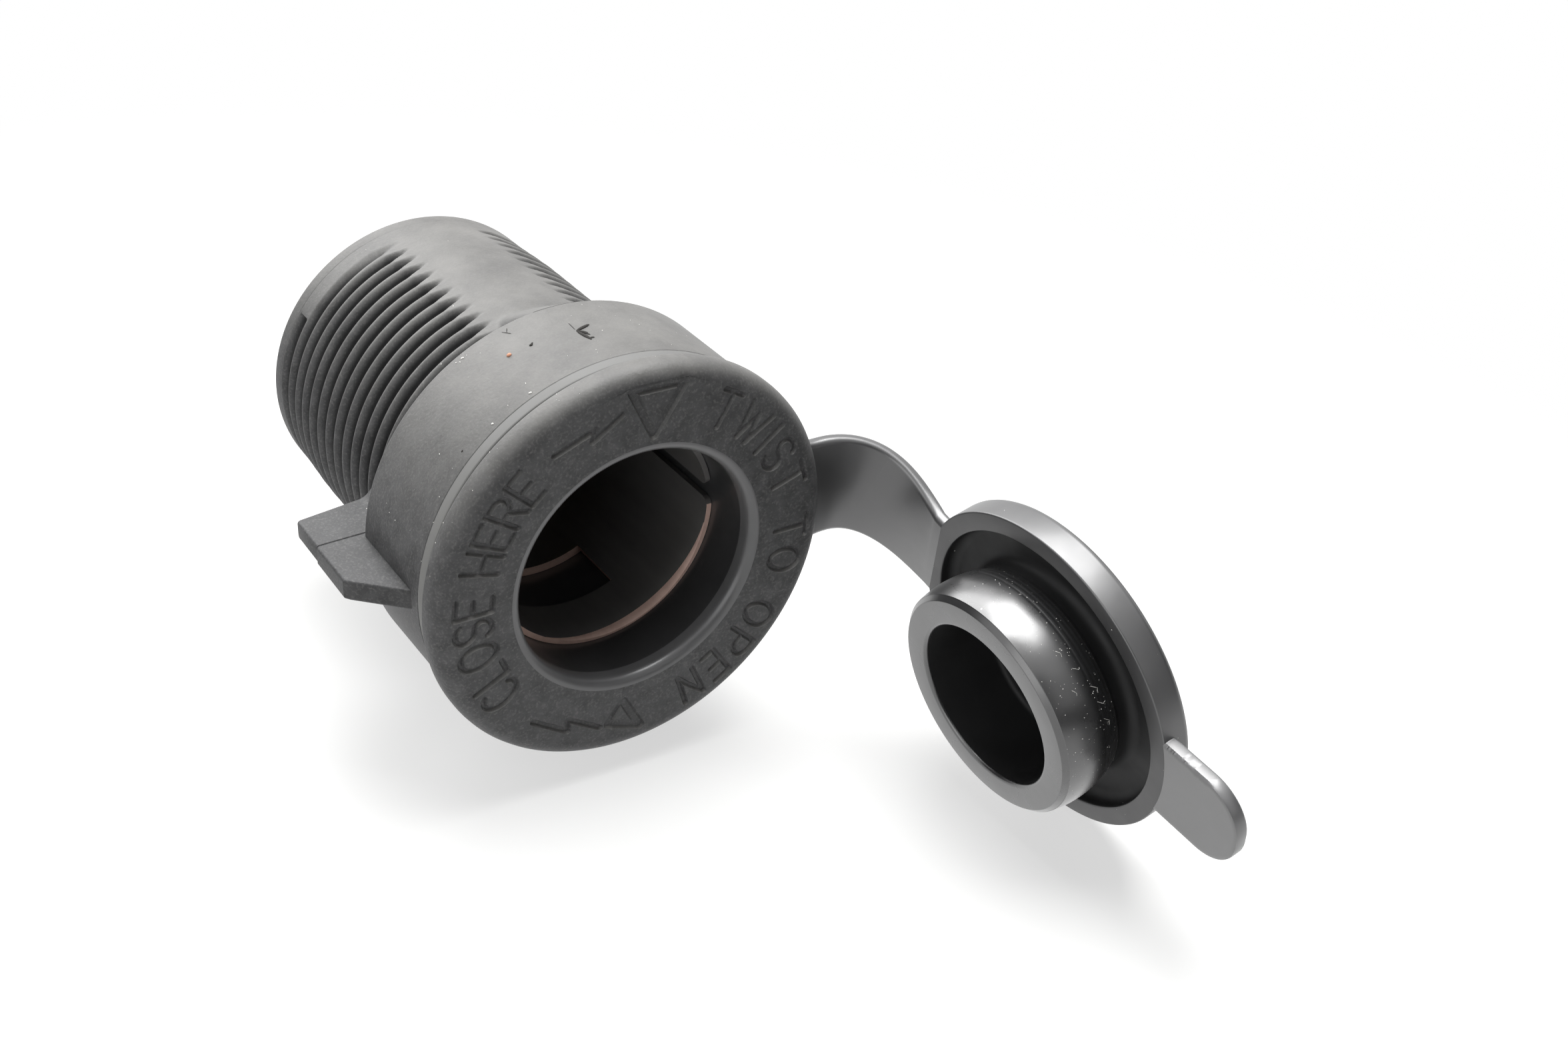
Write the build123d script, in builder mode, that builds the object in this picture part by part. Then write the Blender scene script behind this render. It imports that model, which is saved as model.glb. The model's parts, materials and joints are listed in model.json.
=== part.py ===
"""Car 12 V power socket with a threaded body, a rolled contact shell and a strapped rubber cap.

Millimetres. The socket's axis is Y: the face looks towards -Y and the terminals towards +Y.
The origin is on the axis, in the plane of the shoulder that seats against the panel.
"""
import math
import os

from build123d import *

# Head: flange, ring groove and the plain barrel in front of the panel
head_length = 14.4
head_radius = 18.2
flange_lip = 0.65
flange_thickness = 2.3
flange_round = 1.5
groove_width = 1.9
groove_depth = 1.6

# Shank: thread, plain collar and the terminal recess at its rear end
shank_length = 28.3
barrel_wall = 2.75
thread_depth = 1.1
thread_pitch = 1.82
thread_crest = 0.6
thread_root_gap = 0.3
thread_start = 0.3
thread_seat = 0.3
neck_rise = 0.1
collar_drop = 0.3
collar_length = 2.7
recess_wall = 1.2
recess_depth = 4.0
rear_wall = 2.6

# Smooth pads that interrupt the thread above and below the axis
pad_angles = (90, -90)
pad_half_angle = 17.0
pad_foot_angle = 27.0
pad_overlap = 3.0
pad_rise = 0.05
pad_ramp = 8.0
ramp_step = 0.1

# Anti-turn fin beside the head
fin_angle = 184.1
fin_thickness = 1.9
fin_reach = 4.1
fin_front = 5.3
fin_slope = 3.9
fin_rear = 4.6
fin_lean = 0.7
fin_round = 0.3

# Bore and the rolled contact shell in it
bore_radius = 11.05
mouth_round = 0.9
shell_gap = 0.05
shell_wall = 0.5
shell_depth = 6.1
shell_step = 1.0
step_clear = 0.25
seam_angle = 10.0
seam_width = 2.4
seam_round = 1.0
window_depth = 17.7
window_length = 6.0
window_width = 10.3
window_round = 0.8
cut_clear = 1.0

# Centre contact, its insulator and the two rivets
contact_radius = 4.0
contact_thickness = 0.8
contact_round = 0.25
insulator_radius = 5.0
insulator_thickness = 1.6
boss_radius = 4.1
boss_gap = 0.05
centre_rivet_radius = 1.5
ground_rivet_radius = 1.25
ground_angle = -45.0
centre_rivet_head = 1.25
rivet_edge_share = 0.33
rivet_clear = 0.3
rivet_gap = 0.05

# Blade terminals
blade_width = 6.3
blade_thickness = 0.8
blade_length = 9.0
blade_tip = 1.4
blade_bend = 0.6
foot_heel = 2.4
centre_toe = 4.0
ground_toe_clear = 1.0

# Rubber ring in the groove, strap and cap
ring_sunk = 0.15
ring_gap = 0.25
strap_thickness = 1.3
strap_width = 10.0
strap_angle = 5.2
ring_lug = 2.1
cap_lug = 1.8
cap_radius = 15.3
cap_thickness = 2.95
cap_round = 0.7
rim_width = 1.85
rim_depth = 1.5
plug_length = 6.45
plug_gap = 0.25
plug_tip_gap = 0.1
plug_neck_cut = 0.8
plug_wall = 3.1
plug_hole_depth = 7.4
plug_crown_share = 0.56
tab_width = 8.8
tab_reach = 23.3
tab_round = 4.0

# The strap hangs the cap open beside the face: its span from ring to cap, the plug's and the tab's direction
strap_span_x = 8.22
strap_span_y = -6.42
strap_span_z = -3.57
plug_dir = Vector(-0.9596, -0.0127, -0.2810).normalized()
tab_lead = Vector(0.0415, -0.9944, -0.0968)
strap_skew_angle = -9.5
strap_pull = 6.2
strap_ease = 1.6
strap_sections = 7

face_y = -head_length
rear_y = shank_length
wall_rear = rear_y - recess_depth
wall_front = wall_rear - rear_wall
flange_radius = head_radius + flange_lip
groove_radius = head_radius - groove_depth
ring_radius = head_radius - ring_sunk
fin_radius = head_radius + fin_reach
thread_root = bore_radius + barrel_wall
thread_radius = thread_root + thread_depth
neck_radius = thread_radius + neck_rise
collar_radius = thread_radius - collar_drop
recess_radius = thread_root - recess_wall
pad_radius = thread_radius + pad_rise
pad_root = (recess_radius + thread_root) / 2
groove_y = face_y + flange_thickness
collar_y = rear_y - collar_length
axis_y = Axis.Y
shell_outer = bore_radius - shell_gap
shell_inner = shell_outer - shell_wall
shell_front = face_y + shell_depth
shell_floor = wall_front - shell_wall
insulator_front = shell_floor - insulator_thickness
contact_front = insulator_front - contact_thickness
step_front = contact_front - centre_rivet_head - step_clear
step_rear = step_front + shell_wall
floor_inner = shell_inner - shell_step
ground_rivet_offset = (insulator_radius + floor_inner) / 2
ground_rivet_head = (floor_inner - insulator_radius) / 2 - rivet_clear - ground_rivet_radius
ground_toe = recess_radius - ground_toe_clear - ground_rivet_offset
plug_radius = bore_radius - plug_gap
plug_tip_radius = shell_inner - plug_tip_gap
plug_neck_radius = plug_radius - plug_neck_cut
plug_hole_radius = plug_radius - plug_wall
foot_rear = wall_rear + blade_thickness
ring_front = groove_y + (groove_width - strap_thickness) / 2
strap_dir = (-tab_lead).rotate(Axis((0, 0, 0), plug_dir), strap_skew_angle)
strap_out = Vector(1, 0, 0).rotate(Axis.Y, -strap_angle)
strap_start = strap_out * (ring_radius + ring_lug) + Vector(0, ring_front + strap_thickness / 2, 0)
strap_end = strap_start + Vector(strap_span_x, strap_span_y, strap_span_z)
cap_centre = strap_end - strap_dir * (cap_radius + cap_lug) + plug_dir * (strap_thickness / 2)
cap_axis = Axis(cap_centre, plug_dir)
cap_plane = Plane(origin=cap_centre, x_dir=tab_lead, z_dir=plug_dir)


def radial_plane(angle):
    """Plane through the axis whose local x runs outwards at this clock angle and local y rearwards."""
    turn = math.radians(angle)
    outwards = Vector(math.cos(turn), 0, math.sin(turn))
    return Plane(origin=(0, 0, 0), x_dir=outwards, z_dir=outwards.cross(Vector(0, 1, 0)))


def clock_point(radius, angle, y):
    """Point at a radius and clock angle about the axis."""
    turn = math.radians(angle)
    return Vector(radius * math.cos(turn), y, radius * math.sin(turn))


os.makedirs("parts", exist_ok=True)

# Body: one moulding with head, ring groove, shank, rear wall and terminal recess
with BuildPart() as socket_body:
    with BuildSketch(Plane.XY):
        with BuildLine():
            Polyline(
                (bore_radius, face_y),
                (flange_radius, face_y),
                (flange_radius, groove_y),
                (groove_radius, groove_y),
                (groove_radius, groove_y + groove_width),
                (head_radius, groove_y + groove_width),
                (head_radius, 0),
                (neck_radius, 0),
                (neck_radius, thread_start),
                (thread_root, thread_start),
                (thread_root, collar_y),
                (collar_radius, collar_y),
                (collar_radius, rear_y),
                (recess_radius, rear_y),
                (recess_radius, wall_rear),
                (boss_radius + boss_gap, wall_rear),
                (boss_radius + boss_gap, wall_front),
                (bore_radius - shell_step, wall_front),
                (bore_radius - shell_step, step_rear),
                (bore_radius, step_rear),
                close=True,
            )
        make_face()
    revolve(axis=axis_y)
    face_edges = edges().group_by(axis_y)[0].sort_by(SortBy.RADIUS)
    fillet(face_edges[-1], flange_round)
    fillet(face_edges[0], mouth_round)

    # Thread: each turn is a pair of ridges, one on each side, tilted by the lead
    lead_slope = thread_pitch / (2 * math.pi * thread_radius)
    ridge_half = (thread_pitch - thread_root_gap) / 2
    flank_slope = (ridge_half - thread_crest / 2) / thread_depth
    base_half = ridge_half + thread_seat * flank_slope
    ridge_sweep = 180 - 2 * pad_half_angle + 2 * pad_overlap
    turns = int((collar_y - thread_start) / thread_pitch)
    for half_turn in range(2 * turns):
        side = 1 if half_turn % 2 else -1
        ridge_axis = Axis(
            (0, thread_start + (half_turn + 1) * thread_pitch / 2, 0),
            (0, 1, side * lead_slope),
        )
        ridge_x = Vector(side, 0, 0).rotate(Axis((0, 0, 0), ridge_axis.direction), -ridge_sweep / 2)
        ridge_plane = Plane(
            origin=ridge_axis.position,
            x_dir=ridge_x,
            z_dir=ridge_x.cross(ridge_axis.direction),
        )
        with BuildSketch(ridge_plane):
            with BuildLine():
                Polyline(
                    (thread_root - thread_seat, -base_half),
                    (thread_radius, -thread_crest / 2),
                    (thread_radius, thread_crest / 2),
                    (thread_root - thread_seat, base_half),
                    close=True,
                )
            make_face()
        revolve(axis=ridge_axis, revolution_arc=ridge_sweep)

    # Smooth pads: flanks where the thread fades out, and a ramp up to the head
    for pad_angle in pad_angles:
        foot_low = clock_point(thread_root - thread_seat, pad_angle - pad_foot_angle, 0)
        foot_high = clock_point(thread_root - thread_seat, pad_angle + pad_foot_angle, 0)
        top_low = clock_point(pad_radius, pad_angle - pad_half_angle, 0)
        top_mid = clock_point(pad_radius, pad_angle, 0)
        top_high = clock_point(pad_radius, pad_angle + pad_half_angle, 0)
        with BuildSketch(Plane.XZ):
            with BuildLine():
                ThreePointArc((top_low.X, top_low.Z), (top_mid.X, top_mid.Z), (top_high.X, top_high.Z))
                Polyline(
                    (top_high.X, top_high.Z),
                    (foot_high.X, foot_high.Z),
                    (foot_low.X, foot_low.Z),
                    (top_low.X, top_low.Z),
                )
            make_face()
            Circle(pad_root, mode=Mode.SUBTRACT)
        extrude(amount=-rear_y)
        ramp_half_angle = pad_half_angle - pad_overlap / 2
        with BuildSketch(radial_plane(pad_angle - ramp_half_angle)):
            with BuildLine():
                Polyline(
                    (thread_root, 0),
                    (head_radius - ramp_step, 0),
                    (thread_root, pad_ramp),
                    close=True,
                )
            make_face()
        revolve(axis=axis_y, revolution_arc=-2 * ramp_half_angle)

    # Fin with a sloping front and a slightly leaning rear edge
    with BuildSketch(radial_plane(fin_angle)):
        with BuildLine():
            fin_root = thread_root - thread_seat
            Polyline(
                (fin_root, face_y + fin_front),
                (head_radius, face_y + fin_front),
                (fin_radius, face_y + fin_front + fin_slope),
                (fin_radius, fin_rear),
                (fin_root, fin_rear + fin_lean),
                close=True,
            )
        make_face()
    extrude(amount=fin_thickness / 2, both=True)
    fillet(edges(Select.LAST).filter_by(axis_y).sort_by(Axis.X)[:2], fin_round)

    # Hole for the ground rivet through the rear wall
    ground_spot = clock_point(ground_rivet_offset, ground_angle, wall_rear)
    with Locations(Plane(origin=ground_spot, z_dir=(0, 1, 0))):
        Hole(ground_rivet_radius + rivet_gap, depth=rear_wall)
socket_body.part.label = "socket_body"
export_step(socket_body.part, "parts/socket_body.step")

# Contact shell: a rolled sleeve with an open seam, a lock window and a pierced, stepped floor
with BuildPart() as contact_shell:
    with BuildSketch(Plane.XY):
        with BuildLine():
            Polyline(
                (shell_inner, shell_front),
                (shell_outer, shell_front),
                (shell_outer, step_rear),
                (shell_outer - shell_step, step_rear),
                (shell_outer - shell_step, wall_front),
                (boss_radius + boss_gap, wall_front),
                (boss_radius + boss_gap, shell_floor),
                (floor_inner, shell_floor),
                (floor_inner, step_front),
                (shell_inner, step_front),
                close=True,
            )
        make_face()
    revolve(axis=axis_y)
    seam_out = clock_point(1, seam_angle, 0)
    with BuildSketch(Plane(origin=(0, 0, 0), x_dir=seam_out.cross(Vector(0, -1, 0)), z_dir=seam_out)):
        seam_half = seam_width / 2
        seam_clear = seam_half + 2 * seam_round
        with BuildLine():
            Polyline(
                (-seam_clear, shell_front - cut_clear),
                (seam_clear, shell_front - cut_clear),
                (seam_clear, shell_front),
                (seam_half, shell_front),
                (seam_half, shell_floor),
                (-seam_half, shell_floor),
                (-seam_half, shell_front),
                (-seam_clear, shell_front),
                close=True,
            )
        make_face()
        seam_corners = vertices().group_by(Axis.Y)[1].sort_by(Axis.X)[1:3]
        fillet(seam_corners, seam_round)
    extrude(amount=shell_outer + cut_clear, mode=Mode.SUBTRACT)
    with BuildSketch(Plane(origin=(0, 0, 0), x_dir=(1, 0, 0), z_dir=(0, 0, -1))):
        with Locations((0, window_length / 2 - face_y - window_depth)):
            RectangleRounded(window_width, window_length, window_round)
    extrude(amount=shell_outer + cut_clear, mode=Mode.SUBTRACT)
    with Locations(Plane(origin=clock_point(ground_rivet_offset, ground_angle, wall_front), z_dir=(0, 1, 0))):
        Hole(ground_rivet_radius + rivet_gap, depth=shell_wall)
contact_shell.part.label = "contact_shell"
export_step(contact_shell.part, "parts/contact_shell.step")

# Insulator: a flanged bush that keeps the centre contact off the shell's floor
with BuildPart() as centre_insulator:
    with BuildSketch(Plane.XY):
        with BuildLine():
            Polyline(
                (centre_rivet_radius + rivet_gap, insulator_front),
                (insulator_radius, insulator_front),
                (insulator_radius, shell_floor),
                (boss_radius, shell_floor),
                (boss_radius, wall_rear),
                (centre_rivet_radius + rivet_gap, wall_rear),
                close=True,
            )
        make_face()
    revolve(axis=axis_y)
centre_insulator.part.label = "centre_insulator"
export_step(centre_insulator.part, "parts/centre_insulator.step")

# Centre contact: a pressed disc that the plug's tip bears on
with BuildPart() as centre_contact:
    with BuildSketch(Plane.XY):
        with BuildLine():
            Polyline(
                (centre_rivet_radius + rivet_gap, contact_front),
                (contact_radius, contact_front),
                (contact_radius, insulator_front),
                (centre_rivet_radius + rivet_gap, insulator_front),
                close=True,
            )
        make_face()
    revolve(axis=axis_y)
    fillet(edges().group_by(axis_y)[0].sort_by(SortBy.RADIUS)[-1], contact_round)
centre_contact.part.label = "centre_contact"
export_step(centre_contact.part, "parts/centre_contact.step")


def make_rivet(label, radius, head, spot, front, rear):
    """Rivet along Y at a spot on the rear wall, with a set head at each end."""
    rivet_axis = Axis((spot.X, 0, spot.Z), (0, 1, 0))
    with BuildPart() as rivet:
        with BuildSketch(Plane(origin=rivet_axis.position, x_dir=(1, 0, 0), z_dir=(0, 0, 1))):
            with BuildLine():
                Polyline(
                    (0, front - head),
                    (radius, front - head),
                    (radius + head, front - head * rivet_edge_share),
                    (radius + head, front),
                    (radius, front),
                    (radius, rear),
                    (radius + head, rear),
                    (radius + head, rear + head * rivet_edge_share),
                    (radius, rear + head),
                    (0, rear + head),
                    close=True,
                )
            make_face()
        revolve(axis=rivet_axis)
    rivet.part.label = label
    export_step(rivet.part, f"parts/{label}.step")


make_rivet("centre_rivet", centre_rivet_radius, centre_rivet_head, Vector(0, 0, 0), contact_front, foot_rear)
make_rivet("ground_rivet", ground_rivet_radius, ground_rivet_head, ground_spot, shell_floor, foot_rear)


def make_blade(label, spot, angle, toe, rivet_radius):
    """Bent blade terminal: a riveted foot on the rear wall and a blade that stands out to the rear."""
    lead = clock_point(1, angle, 0)
    across = lead.cross(Vector(0, 1, 0))
    with BuildPart() as blade:
        with BuildSketch(Plane(origin=(spot.X, wall_rear, spot.Z), x_dir=lead, z_dir=across)):
            with BuildLine():
                Polyline(
                    (-foot_heel, 0),
                    (toe, 0),
                    (toe, blade_length),
                    (toe - blade_thickness, blade_length),
                    (toe - blade_thickness, blade_thickness),
                    (-foot_heel, blade_thickness),
                    close=True,
                )
            make_face()
            fillet(vertices().sort_by(Axis.Y)[:2].sort_by(Axis.X)[-1], blade_bend)
        extrude(amount=blade_width / 2, both=True)
        chamfer(edges().filter_by(Axis((0, 0, 0), lead)).group_by(axis_y)[-1], blade_tip)
        with Locations(Plane(origin=(spot.X, foot_rear, spot.Z), z_dir=(0, 1, 0))):
            Hole(rivet_radius + rivet_gap, depth=blade_thickness)
    blade.part.label = label
    export_step(blade.part, f"parts/{label}.step")


make_blade("positive_blade", Vector(0, 0, 0), ground_angle + 180, centre_toe, centre_rivet_radius)
make_blade("ground_blade", ground_spot, ground_angle, ground_toe, ground_rivet_radius)

# Rubber ring that sits in the groove behind the flange, with the root of the strap
with BuildPart() as cap_ring:
    with BuildSketch(Plane.XZ.offset(-ring_front)):
        Circle(ring_radius)
        with Locations(Rotation(0, 0, strap_angle)):
            with Locations((ring_radius, 0)):
                Rectangle(2 * ring_lug, strap_width)
        Circle(groove_radius + ring_gap, mode=Mode.SUBTRACT)
    extrude(amount=-strap_thickness)
cap_ring.part.label = "cap_ring"
export_step(cap_ring.part, "parts/cap_ring.step")

# Strap: a flat band lofted along the bend from the ring's lug to the cap's lug
with BuildLine() as strap_path:
    Bezier(strap_start, strap_start + strap_out * strap_pull, strap_end + strap_dir * strap_ease, strap_end)
width_start = strap_out.cross(Vector(0, 1, 0))
width_end = strap_dir.cross(plug_dir)
with BuildPart() as cap_strap:
    for section in range(strap_sections):
        share = section / (strap_sections - 1)
        along = strap_path.line % share
        across = width_start * (1 - share) + width_end * share
        with BuildSketch(Plane(origin=strap_path.line @ share, x_dir=across, z_dir=along)):
            Rectangle(strap_width, strap_thickness)
    loft()
cap_strap.part.label = "cap_strap"
export_step(cap_strap.part, "parts/cap_strap.step")

# Cap: a hollow bulged plug on a rimmed disc, with a pull tab opposite the strap
rim_inner = cap_radius - rim_width
with BuildPart() as cap:
    with BuildSketch(Plane(origin=cap_centre, x_dir=cap_plane.x_dir, z_dir=cap_plane.x_dir.cross(plug_dir))):
        with BuildLine():
            Polyline(
                (plug_tip_radius, plug_length),
                (plug_hole_radius, plug_length),
                (plug_hole_radius, plug_length - plug_hole_depth),
                (0, plug_length - plug_hole_depth),
                (0, -cap_thickness),
                (cap_radius, -cap_thickness),
                (cap_radius, 0),
                (rim_inner, 0),
                (rim_inner, -rim_depth),
                (plug_neck_radius, -rim_depth),
                (plug_neck_radius, 0),
            )
            ThreePointArc(
                (plug_neck_radius, 0),
                (plug_radius, plug_length * plug_crown_share),
                (plug_tip_radius, plug_length),
            )
        make_face()
    revolve(axis=cap_axis)
    fillet(edges().group_by(cap_axis)[0].sort_by(SortBy.RADIUS)[-1], cap_round)
    with BuildSketch(cap_plane):
        with Locations((cap_radius, 0)):
            Rectangle(2 * (tab_reach - cap_radius), tab_width)
        fillet(vertices().group_by(Axis.X)[-1], tab_round)
        Circle(rim_inner, mode=Mode.SUBTRACT)
    extrude(amount=-strap_thickness)
    with BuildSketch(Plane(origin=cap_centre, x_dir=strap_dir, z_dir=plug_dir)):
        with Locations((cap_radius, 0)):
            Rectangle(2 * cap_lug, strap_width)
        Circle(rim_inner, mode=Mode.SUBTRACT)
    extrude(amount=-strap_thickness)
cap.part.label = "cap"
export_step(cap.part, "parts/cap.step")
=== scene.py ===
import json
import math
import random

import bmesh
import bpy
from mathutils import Matrix, Quaternion, Vector
from mathutils.geometry import delaunay_2d_cdt

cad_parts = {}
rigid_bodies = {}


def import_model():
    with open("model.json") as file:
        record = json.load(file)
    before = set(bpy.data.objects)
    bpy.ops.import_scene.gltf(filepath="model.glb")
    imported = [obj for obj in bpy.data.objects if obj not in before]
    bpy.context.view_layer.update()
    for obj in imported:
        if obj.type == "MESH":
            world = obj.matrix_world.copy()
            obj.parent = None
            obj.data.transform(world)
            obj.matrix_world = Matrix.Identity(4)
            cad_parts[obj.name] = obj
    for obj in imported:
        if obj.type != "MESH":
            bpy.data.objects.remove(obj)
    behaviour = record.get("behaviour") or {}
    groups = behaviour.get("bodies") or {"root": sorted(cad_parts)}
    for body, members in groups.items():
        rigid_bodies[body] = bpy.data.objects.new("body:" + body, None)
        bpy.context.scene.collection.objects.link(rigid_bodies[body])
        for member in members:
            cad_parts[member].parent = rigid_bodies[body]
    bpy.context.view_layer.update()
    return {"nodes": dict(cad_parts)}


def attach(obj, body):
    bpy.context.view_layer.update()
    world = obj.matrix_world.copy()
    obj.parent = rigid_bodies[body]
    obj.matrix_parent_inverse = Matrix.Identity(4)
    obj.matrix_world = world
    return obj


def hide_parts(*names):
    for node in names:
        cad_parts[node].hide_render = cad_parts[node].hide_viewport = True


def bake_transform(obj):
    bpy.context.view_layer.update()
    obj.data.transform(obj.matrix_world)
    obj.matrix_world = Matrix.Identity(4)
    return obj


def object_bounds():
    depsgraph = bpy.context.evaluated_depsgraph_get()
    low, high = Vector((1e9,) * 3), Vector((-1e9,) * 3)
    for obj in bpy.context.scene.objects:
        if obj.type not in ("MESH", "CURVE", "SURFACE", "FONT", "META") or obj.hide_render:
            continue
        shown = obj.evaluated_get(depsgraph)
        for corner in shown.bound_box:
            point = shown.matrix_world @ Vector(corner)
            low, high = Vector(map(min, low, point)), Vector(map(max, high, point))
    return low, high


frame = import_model()
scene = bpy.context.scene
mm = 0.001
closeGap = 0.002 * mm  # vertices nearer than this are one
sliver = 0.0005 * mm  # edges shorter than this go
print("frame loaded:", ", ".join(sorted(frame["nodes"])))


def linear(hexColour):
    parts = [int(hexColour[i:i + 2], 16) / 255 for i in (1, 3, 5)]
    return [p / 12.92 if p <= 0.04045 else ((p + 0.055) / 1.055) ** 2.4 for p in parts] + [1.0]


def perMm(size):
    # scale of a pattern whose features are this many mm wide
    return 1 / (size * mm)


def addNode(tree, kind, inputs=None, **settings):
    # a node given as an input stands for its main output: the colour of a Mix node, the first of any other
    node = tree.nodes.new(kind)
    for key, value in settings.items():
        setattr(node, key, value)
    for key, value in (inputs or {}).items():
        if isinstance(value, bpy.types.Node):
            value = value.outputs[2 if value.bl_idname == "ShaderNodeMix" else 0]
        if isinstance(value, bpy.types.NodeSocket):
            tree.links.new(value, node.inputs[key])
        else:
            node.inputs[key].default_value = value
    return node


def newMaterial(name):
    material = bpy.data.materials.new(name)
    material.use_nodes = True
    tree = material.node_tree
    tree.nodes.clear()
    return material, tree, addNode(tree, "ShaderNodeTexCoord").outputs["Object"]


def setSurface(tree, inputs):
    surface = addNode(tree, "ShaderNodeBsdfPrincipled", inputs)
    addNode(tree, "ShaderNodeOutputMaterial", {"Surface": surface})


# materials

def looseSpecks(tree, place, look):
    # where a loose white speck lies: near the middle of a cell, in a few cells only
    channel, least = look["speckLot"]
    cells = addNode(tree, "ShaderNodeTexVoronoi", {
        "Vector": place, "Scale": perMm(look["speckMm"]), "Randomness": 1.0})
    near = addNode(tree, "ShaderNodeMath", {0: cells.outputs["Distance"], 1: look["speckShare"]},
                   operation="LESS_THAN")
    lot = addNode(tree, "ShaderNodeSeparateColor", {0: cells.outputs["Color"]})
    chosen = addNode(tree, "ShaderNodeMath", {0: lot.outputs[channel], 1: least}, operation="GREATER_THAN")
    return addNode(tree, "ShaderNodeMath", {0: near, 1: chosen}, operation="MULTIPLY")


# Glass-filled nylon from a spark-eroded mould: matte charcoal, fine grain, pale dust and painted sheen on top
nylonLook = {
    # the near-black colour is painted shade for the thread's grooves
    # the pale top colour is partly dust and partly painted top light and sheen
    "dark": "#313132", "light": "#474748", "dustAndSheen": "#7d7c79", "grooveShade": "#0f0f10", "grain": "#757472",
    "speck": "#c9c7c2", "mottleMm": 1.6, "cloudMm": 5.5, "dustMm": 0.22, "grainMm": 0.3, "grainDepthMm": 0.04,
    "speckMm": 2.2, "speckShare": 0.022, "speckLot": (0, 0.55),
}


def grainedNylon(name, dustAndSheenShare, grooved=False, tone=1.0):
    look = nylonLook
    material, tree, place = newMaterial(name)
    mottle = addNode(tree, "ShaderNodeTexNoise", {
        "Vector": place, "Scale": perMm(look["mottleMm"]), "Detail": 5.0, "Roughness": 0.62})
    patch = addNode(tree, "ShaderNodeMapRange", {"Value": mottle, "From Min": 0.32, "From Max": 0.68})
    # a tone below 1 darkens both colours as painted shade
    colour = addNode(tree, "ShaderNodeMix", {
        "Factor": patch, 6: [tone * c for c in linear(look["dark"])],
        7: [tone * c for c in linear(look["light"])]}, data_type="RGBA")
    # what looks up gets a pale layer, thinner where it was handled: partly dust, partly painted top light and
    # sheen
    normal = addNode(tree, "ShaderNodeNewGeometry").outputs["Normal"]
    up = addNode(tree, "ShaderNodeSeparateXYZ", {0: normal}).outputs["Z"]
    lying = addNode(tree, "ShaderNodeMapRange", {
        "Value": up, "From Min": 0.08, "From Max": 1.0, "To Max": dustAndSheenShare}, interpolation_type="SMOOTHSTEP")
    cloud = addNode(tree, "ShaderNodeTexNoise", {
        "Vector": place, "Scale": perMm(look["cloudMm"]), "Detail": 6.0, "Roughness": 0.65})
    wiped = addNode(tree, "ShaderNodeMapRange", {
        "Value": cloud, "From Min": 0.3, "From Max": 0.7, "To Min": 0.6, "To Max": 1.25})
    dustAndSheenMask = addNode(tree, "ShaderNodeMath", {0: lying, 1: wiped}, operation="MULTIPLY")
    # fine dust grains, drawn about twice their size so that they show
    dust = addNode(tree, "ShaderNodeTexNoise", {
        "Vector": place, "Scale": perMm(look["dustMm"]), "Detail": 2.0})
    grains = addNode(tree, "ShaderNodeMapRange", {
        "Value": dust, "From Min": 0.5, "From Max": 0.75, "To Max": 0.3})
    layers = [(dustAndSheenMask, "dustAndSheen"), (grains, "grain"), (looseSpecks(tree, place, look), "speck")]
    if grooved:  # in the thread's grooves a near-black colour, set by their depth, covers the dust: painted shade
        depth = addNode(tree, "ShaderNodeAttribute", attribute_name="groove").outputs["Fac"]
        sunk = addNode(tree, "ShaderNodeMapRange", {
            "Value": depth, "From Min": 0.1, "From Max": 0.48, "To Max": 0.96},
            interpolation_type="SMOOTHSTEP")
        layers.append((sunk, "grooveShade"))
    for share, shade in layers:
        colour = addNode(tree, "ShaderNodeMix", {"Factor": share, 6: colour, 7: linear(look[shade])},
                         data_type="RGBA")
    # spark grain of about 0.1 mm, drawn coarser so that it shows
    grain = addNode(tree, "ShaderNodeTexNoise", {
        "Vector": place, "Scale": perMm(look["grainMm"]), "Detail": 3.0, "Roughness": 0.6})
    bump = addNode(tree, "ShaderNodeBump", {
        "Height": grain, "Strength": 0.7, "Distance": look["grainDepthMm"] * mm})
    rough = addNode(tree, "ShaderNodeMapRange", {
        "Value": mottle, "From Min": 0.3, "From Max": 0.7, "To Min": 0.46, "To Max": 0.56})
    setSurface(tree, {"Base Color": colour, "Roughness": rough, "Normal": bump, "IOR": 1.55,
                      "Specular IOR Level": 0.28})  # the grain scatters most of the gloss
    return material


# Soft black vinyl from a smooth mould: glossy, with smudges, hair scratches and white lint specks
vinylLook = {
    "speck": "#cfcfcc", "smudgeMm": 5.0, "sagMm": 3.6, "sagDepthMm": 0.12, "scratchMm": 0.5,
    "scratchDepthMm": 0.01, "speckMm": 2.4, "speckShare": 0.03, "speckLot": (1, 0.6), "ior": 1.7,
}


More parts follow.
